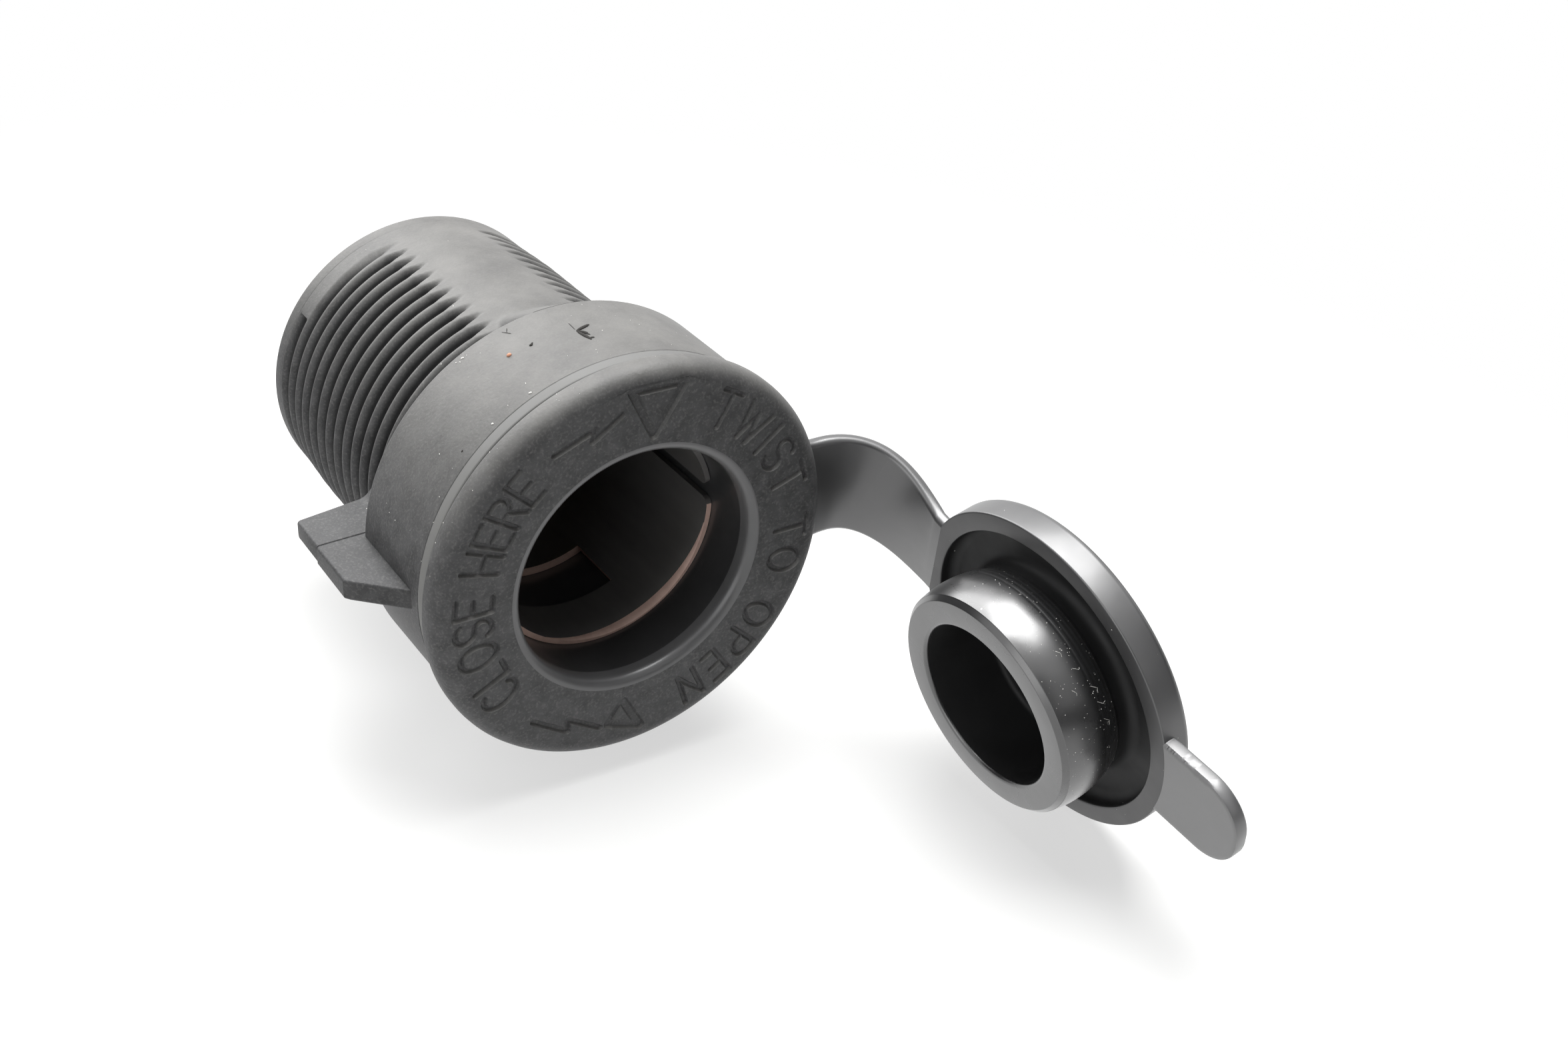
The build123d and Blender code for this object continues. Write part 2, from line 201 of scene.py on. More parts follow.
def softVinyl(name, dark, light, smooth, dull, coat, gloss=0.5):
    look = vinylLook
    material, tree, place = newMaterial(name)
    smudge = addNode(tree, "ShaderNodeTexNoise", {
        "Vector": place, "Scale": perMm(look["smudgeMm"]), "Detail": 4.0, "Roughness": 0.55})
    base = addNode(tree, "ShaderNodeMix", {
        "Factor": smudge, 6: linear(dark), 7: linear(light)}, data_type="RGBA")
    colour = addNode(tree, "ShaderNodeMix", {
        "Factor": looseSpecks(tree, place, look), 6: base, 7: linear(look["speck"])}, data_type="RGBA")
    stretch = addNode(tree, "ShaderNodeMapping", {
        "Vector": place, "Scale": (1.0, 0.12, 1.0), "Rotation": (0.4, 0.3, 0.2)})
    scratch = addNode(tree, "ShaderNodeTexNoise", {
        "Vector": stretch, "Scale": perMm(look["scratchMm"]), "Detail": 2.0})
    sag = addNode(tree, "ShaderNodeTexNoise", {"Vector": place, "Scale": perMm(look["sagMm"]), "Detail": 2.0})
    wavy = addNode(tree, "ShaderNodeBump", {
        "Height": sag, "Strength": 0.5, "Distance": look["sagDepthMm"] * mm})
    bump = addNode(tree, "ShaderNodeBump", {
        "Height": scratch, "Strength": 0.12, "Distance": look["scratchDepthMm"] * mm, "Normal": wavy})
    rough = addNode(tree, "ShaderNodeMapRange", {
        "Value": smudge, "From Min": 0.3, "From Max": 0.7, "To Min": smooth, "To Max": dull})
    # the coat is the skin that set against the mould, glossier than what lies under it
    setSurface(tree, {
        "Base Color": colour, "Roughness": rough, "Normal": bump, "IOR": look["ior"],
        "Specular IOR Level": gloss, "Coat Weight": coat, "Coat IOR": look["ior"], "Coat Roughness": 0.32})
    return material


# Plain materials whose colour and gloss follow one soft pattern; drawn stretches it along the axis
def mottled(name, dark, light, rough, grainMm, detail, fine=0.5, drawn=1.0, reliefMm=0.0, **fixed):
    material, tree, place = newMaterial(name)
    laid = addNode(tree, "ShaderNodeMapping", {"Vector": place, "Scale": (1.0, drawn, 1.0)})
    pattern = addNode(tree, "ShaderNodeTexNoise", {
        "Vector": laid, "Scale": perMm(grainMm), "Detail": detail, "Roughness": fine})
    fixed["Base Color"] = addNode(tree, "ShaderNodeMix", {
        "Factor": pattern, 6: linear(dark), 7: linear(light)}, data_type="RGBA")
    if rough:
        fixed["Roughness"] = addNode(tree, "ShaderNodeMapRange", {
            "Value": pattern, "To Min": rough[0], "To Max": rough[1]})
    if reliefMm:
        fixed["Normal"] = addNode(tree, "ShaderNodeBump", {
            "Height": pattern, "Strength": 0.2, "Distance": reliefMm * mm})
    setSurface(tree, fixed)
    return material


nylon = grainedNylon("grainedNylon", 0.55)
threadNylon = grainedNylon("grainedNylonThread", 0.55, grooved=True)
finNylon = grainedNylon("grainedNylonFin", 0.0, tone=0.85)  # no pale top layer and a darker colour: painted shade under the head's overhang
# the same nylon against a polished core pin: smoother inside the bore, and darker there as painted shade
polished = {"rough": (0.24, 0.38), "grainMm": 4.0, "detail": 4.0, "IOR": 1.55}
boreNylon = mottled("polishedNylon", "#2a2a2b", "#373738", **polished)
# the lip is lighter than the face: a painted highlight along the mouth
lipNylon = mottled("polishedNylonLip", "#4c4c4d", "#5a5a5b", **polished)
# each vinyl: two colours, roughness where it is smooth and where it is dull, coat, and gloss under the coat
vinyl = softVinyl("softVinyl", "#161617", "#232324", 0.22, 0.36, 0.9)
satinVinyl = softVinyl("softVinylSatin", "#424243", "#555556", 0.42, 0.56, 0.9)  # tongue: lighter grey, partly handling dust, partly a painted reflection of the bright floor
matteVinyl = softVinyl("softVinylMatte", "#2c2c2d", "#404041", 0.34, 0.52, 0.6)  # rubbed edge of the rim
strapVinyl = softVinyl("softVinylStrap", "#29292a", "#373738", 0.32, 0.44, 0.8)  # bent parts keep their gloss
rimVinyl = softVinyl("softVinylRim", "#222223", "#303031", 0.42, 0.56, 0.3, 0.4)  # front of the rim, shaded
dullVinyl = softVinyl("softVinylHollow", "#131314", "#1d1d1e", 0.5, 0.65, 0.0, 0.2)  # off a blasted core, and darker than the plug: painted shade in the recess and hole
dustAndHighlightVinyl = softVinyl("softVinylDustAndHighlight", "#525251", "#666664", 0.6, 0.75, 0.0)  # ring: light grey, partly dust worked in and partly a painted highlight along its strip
# rolled sheet, copper plated and darkened with age, with raw copper on its cut edges
# brass, bright from the press, and the same with a pale coat of tin
sheet = {"detail": 5.0, "fine": 0.6, "drawn": 0.15, "reliefMm": 0.01}
agedCopper = mottled("agedCopperPlate", "#555453", "#6b6968", (0.36, 0.55), 1.8, Metallic=0.35, **sheet)
cutCopper = mottled("cutCopperEdge", "#c6a699", "#e6c8bb", (0.4, 0.6), 0.5, Metallic=0.45, **sheet)
brass = mottled("pressedBrass", "#a98a4e", "#c9aa6a", (0.26, 0.42), 0.8, Metallic=1.0, **sheet)
tinnedBrass = mottled("tinnedBrass", "#a7a49b", "#c6c2b6", (0.28, 0.45), 1.0, Metallic=1.0, **sheet)
# cotton-filled phenolic bush: brown-black, with a faint fibre mottle
phenolic = mottled("phenolicBush", "#2a1a12", "#4a3022", (0.4, 0.6), 0.6, 4.0)
# loose bits on the surface: pale lint, dry leaf and a grain of rust, all matte
dry = {"rough": None, "grainMm": 0.2, "detail": 3.0, "Roughness": 0.9}
lint = mottled("cottonLint", "#c9c7c2", "#efeeea", **dry)
dryLeaf = mottled("dryLeaf", "#161513", "#2b2825", **dry)
rustGrain = mottled("rustGrain", "#a0644a", "#d8a88c", **dry)
print("materials:", len(bpy.data.materials))


# shared shapes

def roundCorners(corners, steps=6):
    # corners of an open outline as (x, y, radius); each radius becomes an arc
    points = []
    for i, (x, y, radius) in enumerate(corners):
        here = Vector((x, y))
        if radius == 0 or i in (0, len(corners) - 1):
            points.append((x, y))
            continue
        before = (Vector(corners[i - 1][:2]) - here).normalized()
        after = (Vector(corners[i + 1][:2]) - here).normalized()
        half = math.acos(max(-1, min(1, before.dot(after)))) / 2
        reach = radius / math.tan(half)
        middle = here + (before + after).normalized() * (radius / math.sin(half))
        start = here + before * reach - middle
        end = here + after * reach - middle
        sweep = start.angle_signed(end)
        for k in range(steps + 1):
            turned = start.copy()
            turned.rotate(Matrix.Rotation(-sweep * k / steps, 2))
            points.append(tuple(middle + turned))
    return points


def clock(radius, degrees, y=0.0):
    turn = math.radians(degrees)
    return Vector((radius * math.cos(turn), y, radius * math.sin(turn)))


def spinRings(mesh, profile, steps, slot=0, origin=Vector(), axis=Vector((0, 1, 0)), side=Vector((1, 0, 0))):
    # turns an outline of (radius, height) round an axis; returns the rings of vertices
    other = axis.cross(side)
    rings = []
    for radius, height in profile:
        ring = []
        for k in range(steps):
            turn = 2 * math.pi * k / steps
            spot = origin + axis * height + (side * math.cos(turn) + other * math.sin(turn)) * radius
            ring.append(mesh.verts.new(spot * mm))
        rings.append(ring)
    for lower, upper in zip(rings, rings[1:]):
        for k in range(steps):
            face = mesh.faces.new((lower[k], lower[k - 1], upper[k - 1], upper[k]))
            face.material_index = slot
            face.smooth = True
    return rings


def skinRows(mesh, rows, closed=False, smooth=True):
    # faces between neighbouring rows of vertices, and one over each end
    for a, b in zip(rows, rows[1:]):
        for k in range(0 if closed else 1, len(a)):
            mesh.faces.new((a[k - 1], a[k], b[k], b[k - 1])).smooth = smooth
    mesh.faces.new(rows[0])
    mesh.faces.new(rows[-1])


def linkMesh(name, mesh, materials=()):
    data = bpy.data.meshes.new(name)
    mesh.to_mesh(data)
    mesh.free()
    for material in materials:
        data.materials.append(material)
    piece = bpy.data.objects.new(name, data)
    scene.collection.objects.link(piece)
    return piece


def finishPiece(name, mesh, materials, sharpDegrees=32):
    bmesh.ops.remove_doubles(mesh, verts=mesh.verts, dist=closeGap)
    bmesh.ops.dissolve_degenerate(mesh, edges=mesh.edges, dist=sliver)
    bmesh.ops.recalc_face_normals(mesh, faces=mesh.faces)
    piece = linkMesh(name, mesh, materials)
    piece.data.set_sharp_from_angle(angle=math.radians(sharpDegrees))
    return piece


def bakeNodes(piece):
    # turns the evaluated modifiers into a plain mesh
    bpy.context.view_layer.update()
    data = bpy.data.meshes.new_from_object(piece.evaluated_get(bpy.context.evaluated_depsgraph_get()))
    name = piece.name
    bpy.data.objects.remove(piece)
    data.name = name
    plain = bpy.data.objects.new(name, data)
    scene.collection.objects.link(plain)
    return plain


def newTree(name, inputs):
    tree = bpy.data.node_groups.new(name, "GeometryNodeTree")
    tree.interface.new_socket(name="Geometry", in_out="INPUT", socket_type="NodeSocketGeometry")
    for label, kind in inputs.items():
        tree.interface.new_socket(name=label, in_out="INPUT", socket_type=kind)
    tree.interface.new_socket(name="Geometry", in_out="OUTPUT", socket_type="NodeSocketGeometry")
    return tree, addNode(tree, "NodeGroupInput").outputs


def closeTree(tree, geometry, material):
    real = addNode(tree, "GeometryNodeRealizeInstances", {"Geometry": geometry})
    dressed = addNode(tree, "GeometryNodeSetMaterial", {"Geometry": real, "Material": material})
    addNode(tree, "NodeGroupOutput", {0: dressed})
    return tree


def runTree(piece, tree, values):
    modifier = piece.modifiers.new(tree.name, "NODES")
    modifier.node_group = tree
    for item in tree.interface.items_tree:
        if item.item_type == "SOCKET" and item.in_out == "INPUT" and item.name in values:
            modifier[item.identifier] = values[item.name]
    return bakeNodes(piece)


# socket body: one moulding of revolution, with the face left open for its marks

body = {
    "steps": 240, "face": -14.4, "flange": 18.85, "flangeThick": 2.3, "flangeRound": 1.5, "flangeBack": 0.25,
    "groove": 16.6, "grooveWidth": 1.9, "grooveRound": 0.1, "head": 18.2, "headFront": 0.12, "headRound": 0.3,
    "neck": 15.0, "neckLong": 0.3, "neckRound": 0.05, "bed": 13.5, "collarFront": 26.7, "collar": 14.6,
    "collarRound": 0.12, "rear": 28.3, "rearRound": 0.45, "recess": 12.6, "recessEdge": 0.25,
    "recessRound": 0.4, "wallRear": 24.3, "wallFront": 21.7, "boss": 4.15, "stepIn": 10.05, "step": 17.8,
    "bore": 11.05, "boreRound": 0.2, "lipDepth": 1.6, "mouthRound": 0.9, "edge": 0.01,
}


def makeSocketBody():
    b = body
    grooveFront = b["face"] + b["flangeThick"]
    grooveRear = grooveFront + b["grooveWidth"]
    lip = b["face"] + b["lipDepth"]
    outside = roundCorners([
        (b["flange"] - b["flangeRound"] - b["edge"], b["face"], 0),
        (b["flange"], b["face"], b["flangeRound"]),
        (b["flange"], grooveFront, b["flangeBack"]), (b["groove"], grooveFront, b["grooveRound"]),
        (b["groove"], grooveRear, b["grooveRound"]), (b["head"], grooveRear, b["headFront"]),
        (b["head"], 0, b["headRound"]), (b["neck"], 0, b["grooveRound"]),
        (b["neck"], b["neckLong"], b["neckRound"]), (b["bed"], b["neckLong"], 0)])
    rear = roundCorners([
        (b["bed"], b["collarFront"], 0), (b["collar"], b["collarFront"], b["collarRound"]),
        (b["collar"], b["rear"], b["rearRound"]), (b["recess"], b["rear"], b["recessEdge"]),
        (b["recess"], b["wallRear"], b["recessRound"]), (b["boss"], b["wallRear"], 0)])
    inside = roundCorners([
        (b["boss"], b["wallFront"], 0), (b["stepIn"], b["wallFront"], b["boreRound"]),
        (b["stepIn"], b["step"], b["boreRound"]), (b["bore"], b["step"], b["boreRound"]),
        (b["bore"], lip, 0)])
    mouth = roundCorners([
        (b["bore"], lip, 0), (b["bore"], b["face"], b["mouthRound"]),
        (b["bore"] + b["mouthRound"] + b["edge"], b["face"], 0)], steps=9)
    mesh = bmesh.new()
    first = spinRings(mesh, outside, b["steps"])
    spinRings(mesh, [outside[-1], rear[0]], b["steps"])
    spinRings(mesh, rear + [inside[0]], b["steps"])
    spinRings(mesh, inside, b["steps"], slot=1)
    last = spinRings(mesh, mouth, b["steps"], slot=2)
    markFace(mesh, [v.co.copy() / mm for v in first[0]], [v.co.copy() / mm for v in last[-1]], b["face"])
    return finishPiece("socketBody", mesh, [nylon, boreNylon, lipNylon])


# marks sunk in the face: plain words, turn arrows and two triangles, all from single strokes
# levels are (half width, depth); words are (letters, start, end); corners and ends are (radius, clock angle)

faceMarks = {
    "levels": [(0.3, 0.0), (0.23, 0.12), (0.12, 0.3)], "letterHeight": 3.3, "letterBase": 13.75,
    "words": [("CLOSE HERE", 219.5, 135.0), ("TWIST TO OPEN", 67.5, -68.0)],
    "triangles": [((17.25, 98.2), (17.45, 81.9), (12.85, 90.1)),
                  ((15.7, -96.2), (13.5, -91.6), (16.8, -84.3))],
    "arrows": [[(15.68, 125.4), (15.44, 110.9)], [(15.44, 110.9), (14.51, 113.2)],
               [(14.51, 113.2), (15.62, 101.7)], [(15.9, -125.5), (16.1, -110.9)],
               [(16.1, -110.9), (15.0, -112.8)], [(15.0, -112.8), (15.9, -99.0)]],
    "triangleWiden": 0.16, "arrowWiden": 0.02, "straightSteps": 4, "endSteps": 6, "mergeMm": 1e-4,
    "innerSlack": 0.9995,
}


def bend(cx, cy, rx, ry, start, end, steps=10):
    turns = [math.radians(start + (end - start) * k / steps) for k in range(steps + 1)]
    return [(cx + rx * math.cos(t), cy + ry * math.sin(t)) for t in turns]


# each letter: its width and its strokes, in units of the letter height
strokeLetters = {
    "C": (0.6, [bend(0.32, 0.5, 0.32, 0.5, 48, 180), bend(0.32, 0.5, 0.32, 0.5, 180, 312)]),
    "L": (0.46, [[(0, 1), (0, 0)], [(0, 0), (0.46, 0)]]),
    "O": (0.66, [bend(0.33, 0.5, 0.33, 0.5, -8, 188, 14), bend(0.33, 0.5, 0.33, 0.5, 172, 368, 14)]),
    "S": (0.54, [bend(0.27, 0.745, 0.25, 0.255, 25, 270, 12), bend(0.27, 0.245, 0.27, 0.245, 90, -155, 12)]),
    "E": (0.46, [[(0.46, 1), (0, 1)], [(0, 1), (0, 0)], [(0, 0), (0.46, 0)], [(0, 0.52), (0.4, 0.52)]]),
    "H": (0.54, [[(0, 0), (0, 1)], [(0.54, 0), (0.54, 1)], [(0, 0.5), (0.54, 0.5)]]),
    "R": (0.54, [[(0, 0), (0, 1)], [(0, 1), (0.27, 1)], bend(0.27, 0.75, 0.25, 0.25, 90, -90, 10),
                 [(0.27, 0.5), (0, 0.5)], [(0.27, 0.5), (0.54, 0)]]),
    "T": (0.56, [[(0, 1), (0.56, 1)], [(0.28, 1), (0.28, 0)]]),
    "W": (0.8, [[(0, 1), (0.2, 0)], [(0.2, 0), (0.4, 0.82)], [(0.4, 0.82), (0.6, 0)], [(0.6, 0), (0.8, 1)]]),
    "I": (0.06, [[(0.03, 0), (0.03, 1)]]),
    "P": (0.52, [[(0, 0), (0, 1)], [(0, 1), (0.27, 1)], bend(0.27, 0.73, 0.25, 0.27, 90, -90, 10),
                 [(0.27, 0.46), (0, 0.46)]]),
    "N": (0.54, [[(0, 0), (0, 1)], [(0, 1), (0.54, 0)], [(0.54, 0), (0.54, 1)]]),
    " ": (0.3, []),
}


def markStrokes():
    # all strokes on the face as flat (x, z) points in mm, with an added half width
    m = faceMarks
    tall = m["letterHeight"]
    middle = m["letterBase"] + tall / 2
    strokes = []
    for words, start, end in m["words"]:
        widths = [strokeLetters[c][0] * tall for c in words]
        gap = (math.radians(start - end) * middle - sum(widths)) / (len(words) - 1)
        along = 0.0
        for letter, width in zip(words, widths):
            for stroke in strokeLetters[letter][1]:
                # straight strokes are cut up, because they follow the curve too
                parts = m["straightSteps"] if len(stroke) == 2 else 1
                line = [(x0 + (x1 - x0) * j / parts, y0 + (y1 - y0) * j / parts)
                        for (x0, y0), (x1, y1) in zip(stroke, stroke[1:]) for j in range(parts)]
                flat = []
                for x, y in line + [stroke[-1]]:
                    angle = math.radians(start) - (along + x * tall) / middle
                    radius = m["letterBase"] + y * tall
                    flat.append(Vector((radius * math.cos(angle), radius * math.sin(angle))))
                strokes.append((flat, 0.0))
            along += width + gap
    for corners in m["triangles"]:
        spots = [clock(*corner).xz for corner in corners]
        strokes += [([spots[k - 1], spots[k]], m["triangleWiden"]) for k in range(3)]
    return strokes + [([clock(*spot).xz for spot in line], m["arrowWiden"]) for line in m["arrows"]]


def pathAhead(path, k):
    return (path[min(k + 1, len(path) - 1)] - path[max(k - 1, 0)]).normalized()


def strokeOutline(line, half):
    # a closed outline at half width on both sides of a stroke, with round ends
    sides = [(spot, pathAhead(line, k)) for k, spot in enumerate(line)]
    left = [spot + Vector((-a.y, a.x)) * half for spot, a in sides]
    right = [spot + Vector((a.y, -a.x)) * half for spot, a in reversed(sides)]
    ends = []
    for (spot, a), sign in ((sides[-1], 1), (sides[0], -1)):
        ahead = a * sign
        turns = [math.pi * k / faceMarks["endSteps"] for k in range(1, faceMarks["endSteps"])]
        ends.append([spot + Vector((-ahead.y, ahead.x)) * half * math.cos(t) + ahead * half * math.sin(t)
                     for t in turns])
    return left + ends[0] + right + ends[1]


def strokeGap(spot, line):
    gaps = []
    for a, b in zip(line, line[1:]):
        run = b - a
        share = max(0.0, min(1.0, (spot - a).dot(run) / run.length_squared))
        gaps.append((spot - a - run * share).length)
    return min(gaps)


def markFace(mesh, outer, inner, y):
    strokes = markStrokes()
    levels = faceMarks["levels"]
    loops = [[Vector((v.x, v.z)) for v in rim] for rim in (outer, inner)]
    loops += [strokeOutline(line, half + widen) for line, widen in strokes for half, depth in levels]
    spots, edges = [], []
    for loop in loops:
        known = len(spots)
        edges += [(known + (k - 1) % len(loop), known + k) for k in range(len(loop))]
        spots += loop
    flat, _, triangles, _, _, _ = delaunay_2d_cdt(spots, edges, [], 0, faceMarks["mergeMm"])
    boxes = []
    for line, widen in strokes:
        reach = levels[0][0] + widen
        boxes.append((min(p.x for p in line) - reach, max(p.x for p in line) + reach,
                      min(p.y for p in line) - reach, max(p.y for p in line) + reach))
    made = []
    for spot in flat:
        sunk = 0.0
        for (line, widen), (x0, x1, y0, y1) in zip(strokes, boxes):
            if not (x0 < spot.x < x1 and y0 < spot.y < y1):
                continue
            gap = strokeGap(spot, line) - widen
            for (wide, shallow), (narrow, deep) in zip(levels, levels[1:]):
                if gap < wide:
                    share = min(1.0, (wide - gap) / (wide - narrow))
                    sunk = max(sunk, shallow + (deep - shallow) * share)
        made.append(mesh.verts.new(Vector((spot.x, y + sunk, spot.y)) * mm))
    innerRadius = min(math.hypot(v.x, v.z) for v in inner) * faceMarks["innerSlack"]
    for triangle in triangles:
        if (sum((flat[k] for k in triangle), Vector((0, 0))) / 3).length > innerRadius:
            mesh.faces.new([made[k] for k in triangle]).smooth = False
    print("face marks:", len(strokes), "strokes,", len(triangles), "triangles")


# thread: a sheared grid whose lines follow the helix; grooves are sunk by a rule and fade out at the two pads

thread = {
    "Pitch": 1.82 * mm, "Start": 0.12 * mm, "Length": 26.7 * mm, "Depth": 1.3 * mm, "Roundness": 0.52,
    "Crest": 14.93 * mm, "Rear Crest": 14.62 * mm, "Taper From": 19.0 * mm,
    "Pad Half": math.radians(15.6), "Pad Fade": math.radians(24.5), "Tip Squeeze": 0.5,
    "Soft From": math.radians(112), "Soft To": math.radians(155), "Soft Depth": 0.3,
    "Last From": math.radians(150.5), "Ramp Top": 18.1 * mm, "Ramp Foot": 13.8 * mm, "Ramp Length": 8.0 * mm,
    "Ramp Half": math.radians(11), "Ramp Fade": math.radians(23), "Ramp Blend": 0.3 * mm,
}
threadLines = {"around": 360, "perPitch": 14, "turns": 16, "fullTurns": 13, "lead": 0.7, "mergeMm": 0.004,
               "sharpDegrees": 40}

# one value per line: an operation and its terms, which are inputs, earlier values or numbers
# SMOOTHSTEP and LINEAR map a value from one range to another
threadRule = {
    "turn": ("DIVIDE", "theta", 2 * math.pi),
    "row": ("ADD", "line", threadLines["turns"] / 2 - threadLines["lead"]),
    "sheared": ("SUBTRACT", "row", "turn"),
    "raw": ("MULTIPLY_ADD", "sheared", "Pitch", "Start"),
    "ahead": ("MAXIMUM", "raw", 0.0),
    "along": ("MINIMUM", "ahead", "Length"),
    "run": ("SUBTRACT", "along", "Start"),
    "pitches": ("DIVIDE", "run", "Pitch"),
    "count": ("ADD", "pitches", "turn"),
    "phase": ("MULTIPLY", "count", 2 * math.pi),
    "wave": ("COSINE", "phase"),
    "swell": ("MULTIPLY_ADD", "wave", 0.5, 0.5),
    "ridge": ("POWER", "swell", "Roundness"),
    "hollow": ("SUBTRACT", 1.0, "ridge"),
    # the smooth pads above and below rise out of the grooves, which fade and narrow to points there
    "side": ("ABSOLUTE", "theta"),
    "offTop": ("SUBTRACT", "side", math.pi / 2),
    "away": ("ABSOLUTE", "offTop"),
    "lift": ("LINEAR", "away", "Pad Half", "Pad Fade", 1.0, 0.0),
    "squeeze": ("MULTIPLY", "lift", "Tip Squeeze"),
    "squeezed": ("SUBTRACT", "hollow", "squeeze"),
    "narrowed": ("MAXIMUM", "squeezed", 0.0),
    "unlifted": ("SUBTRACT", 1.0, "lift"),
    "faded": ("MULTIPLY", "narrowed", "unlifted"),
    # next to the collar one groove is shallow at first, and the last one starts with a step
    "full": ("LESS_THAN", "count", threadLines["fullTurns"]),
    "soft": ("LESS_THAN", "count", threadLines["fullTurns"] + 1),
    "last": ("LESS_THAN", "count", threadLines["fullTurns"] + 2),
    "softTurn": ("SUBTRACT", "soft", "full"),
    "lastTurn": ("SUBTRACT", "last", "soft"),
    "eased": ("SMOOTHSTEP", "theta", "Soft From", "Soft To", "Soft Depth", 1.0),
    "farSide": ("LESS_THAN", "theta", math.pi / 2),
    "softShare": ("MAXIMUM", "eased", "farSide"),
    "lastShare": ("GREATER_THAN", "theta", "Last From"),
    "keptSoft": ("MULTIPLY_ADD", "softTurn", "softShare", "full"),
    "kept": ("MULTIPLY_ADD", "lastTurn", "lastShare", "keptSoft"),
    "share": ("MULTIPLY", "faded", "kept"),
    "sunk": ("MULTIPLY", "share", "Depth"),
    "top": ("SMOOTHSTEP", "along", "Taper From", "Length", "Crest", "Rear Crest"),
    "threaded": ("SUBTRACT", "top", "sunk"),
    # the pads ramp up to the head
    "fall": ("LINEAR", "along", 0.0, "Ramp Length", "Ramp Top", "Ramp Foot"),
    "fade": ("SMOOTHSTEP", "away", "Ramp Half", "Ramp Fade", 1.0, 0.0),
    "rise": ("SUBTRACT", "fall", "Ramp Foot"),
    "ramp": ("MULTIPLY_ADD", "rise", "fade", "Ramp Foot"),
    "radius": ("SMOOTH_MAX", "threaded", "ramp", "Ramp Blend"),
    "cos": ("COSINE", "theta"),
    "sin": ("SINE", "theta"),
    "x": ("MULTIPLY", "cos", "radius"),
    "z": ("MULTIPLY", "sin", "radius"),
}


def threadTree():
    tree, size = newTree("threadRidges", {
        **dict.fromkeys(thread, "NodeSocketFloat"), "Material": "NodeSocketMaterial"})
    lines = threadLines
    grid = addNode(tree, "GeometryNodeMeshGrid", {
        "Size X": 2 * math.pi, "Size Y": lines["turns"], "Vertices X": lines["around"] + 1,
        "Vertices Y": lines["perPitch"] * lines["turns"] + 1})
    where = addNode(tree, "ShaderNodeSeparateXYZ", {0: addNode(tree, "GeometryNodeInputPosition")})
    known = {label: size[label] for label in thread}
    known.update(theta=where.outputs["X"], line=where.outputs["Y"])
    for name, (operation, *terms) in threadRule.items():
        inputs = {k: known[term] if isinstance(term, str) else term for k, term in enumerate(terms)}
        if operation in ("LINEAR", "SMOOTHSTEP"):
            known[name] = addNode(tree, "ShaderNodeMapRange", inputs, interpolation_type=operation)
        else:
            known[name] = addNode(tree, "ShaderNodeMath", inputs, operation=operation)
    spot = addNode(tree, "ShaderNodeCombineXYZ", {"X": known["x"], "Y": known["along"], "Z": known["z"]})
    noted = addNode(tree, "GeometryNodeStoreNamedAttribute", {
        "Geometry": grid, "Name": "groove", "Value": known["share"]}, data_type="FLOAT", domain="POINT")
    moved = addNode(tree, "GeometryNodeSetPosition", {"Geometry": noted, "Position": spot})
    closed = addNode(tree, "GeometryNodeMergeByDistance", {
        "Geometry": moved, "Distance": lines["mergeMm"] * mm})
    return closeTree(tree, closed, size["Material"])


def makeThread():
    piece = runTree(linkMesh("threadedShank", bmesh.new()), threadTree(), {**thread, "Material": threadNylon})
    mesh = bmesh.new()
    mesh.from_mesh(piece.data)
    for face in mesh.faces:
        face.smooth = True
        out = face.calc_center_median()
        if face.normal.dot(Vector((out.x, 0, out.z))) < 0:
            face.normal_flip()
    mesh.to_mesh(piece.data)
    mesh.free()
    piece.data.set_sharp_from_angle(angle=math.radians(threadLines["sharpDegrees"]))
    return piece


# fin beside the head: a loft of rounded sections, with the mould's parting line across its edge
# sections are (y at the outer edge, y at the root, outer radius, how far the section is drawn in)

fin = {
    "angle": 184.1, "topFront": 0.78, "topRear": 0.98, "bottomFront": 1.15, "bottomRear": 0.8, "reach": 22.3,
    "root": 13.5, "front": -9.1, "rear": 4.6, "round": 0.28, "flare": 1.7, "flareFrom": 14.2,
    "flareAt": 15.9, "flareRound": 1.5, "leanFrom": 17.2,
    "sections": [(-9.1, -9.1, 17.95, 0.12), (-8.95, -8.98, 18.2, 0.0), (-5.45, -5.5, 22.0, 0.0),
                 (-5.05, -5.1, 22.3, 0.0), (0.19, 0.19, 22.3, 0.0), (0.3, 0.3, 22.3, 0.06),
                 (0.35, 0.35, 22.3, 0.14), (0.45, 0.45, 22.23, 0.03), (4.3, 5.0, 22.23, 0.03),
                 (4.52, 5.22, 22.2, 0.05), (4.6, 5.3, 22.13, 0.13)],
}


def makeFin():
    f = fin
    out = clock(1, f["angle"])
    across = out.cross(Vector((0, 1, 0)))
    mesh = bmesh.new()
    rows = []
    for yTip, yRoot, reach, drawn in f["sections"]:
        share = (yTip - f["front"]) / (f["rear"] - f["front"])
        top = f["topFront"] + (f["topRear"] - f["topFront"]) * share - drawn
        bottom = f["bottomFront"] + (f["bottomRear"] - f["bottomFront"]) * share - drawn
        outline = roundCorners([
            (f["flareFrom"], -top - f["flare"], 0), (f["flareAt"], -top, f["flareRound"]),
            (reach - drawn, -top, f["round"]), (reach - drawn, bottom, f["round"]),
            (f["root"], bottom, 0)], steps=5)
        row = []
        for radius, shift in outline:
            lean = max(0.0, min(1.0, (radius - f["leanFrom"]) / (f["reach"] - f["leanFrom"])))
            y = yRoot + (yTip - yRoot) * lean
            row.append(mesh.verts.new((out * radius + across * shift + Vector((0, y, 0))) * mm))
        rows.append(row)
    skinRows(mesh, rows)
    return finishPiece("panelFin", mesh, [finNylon], sharpDegrees=28)


# contact sleeve: rolled sheet with an open seam, a lock window and raw cut edges

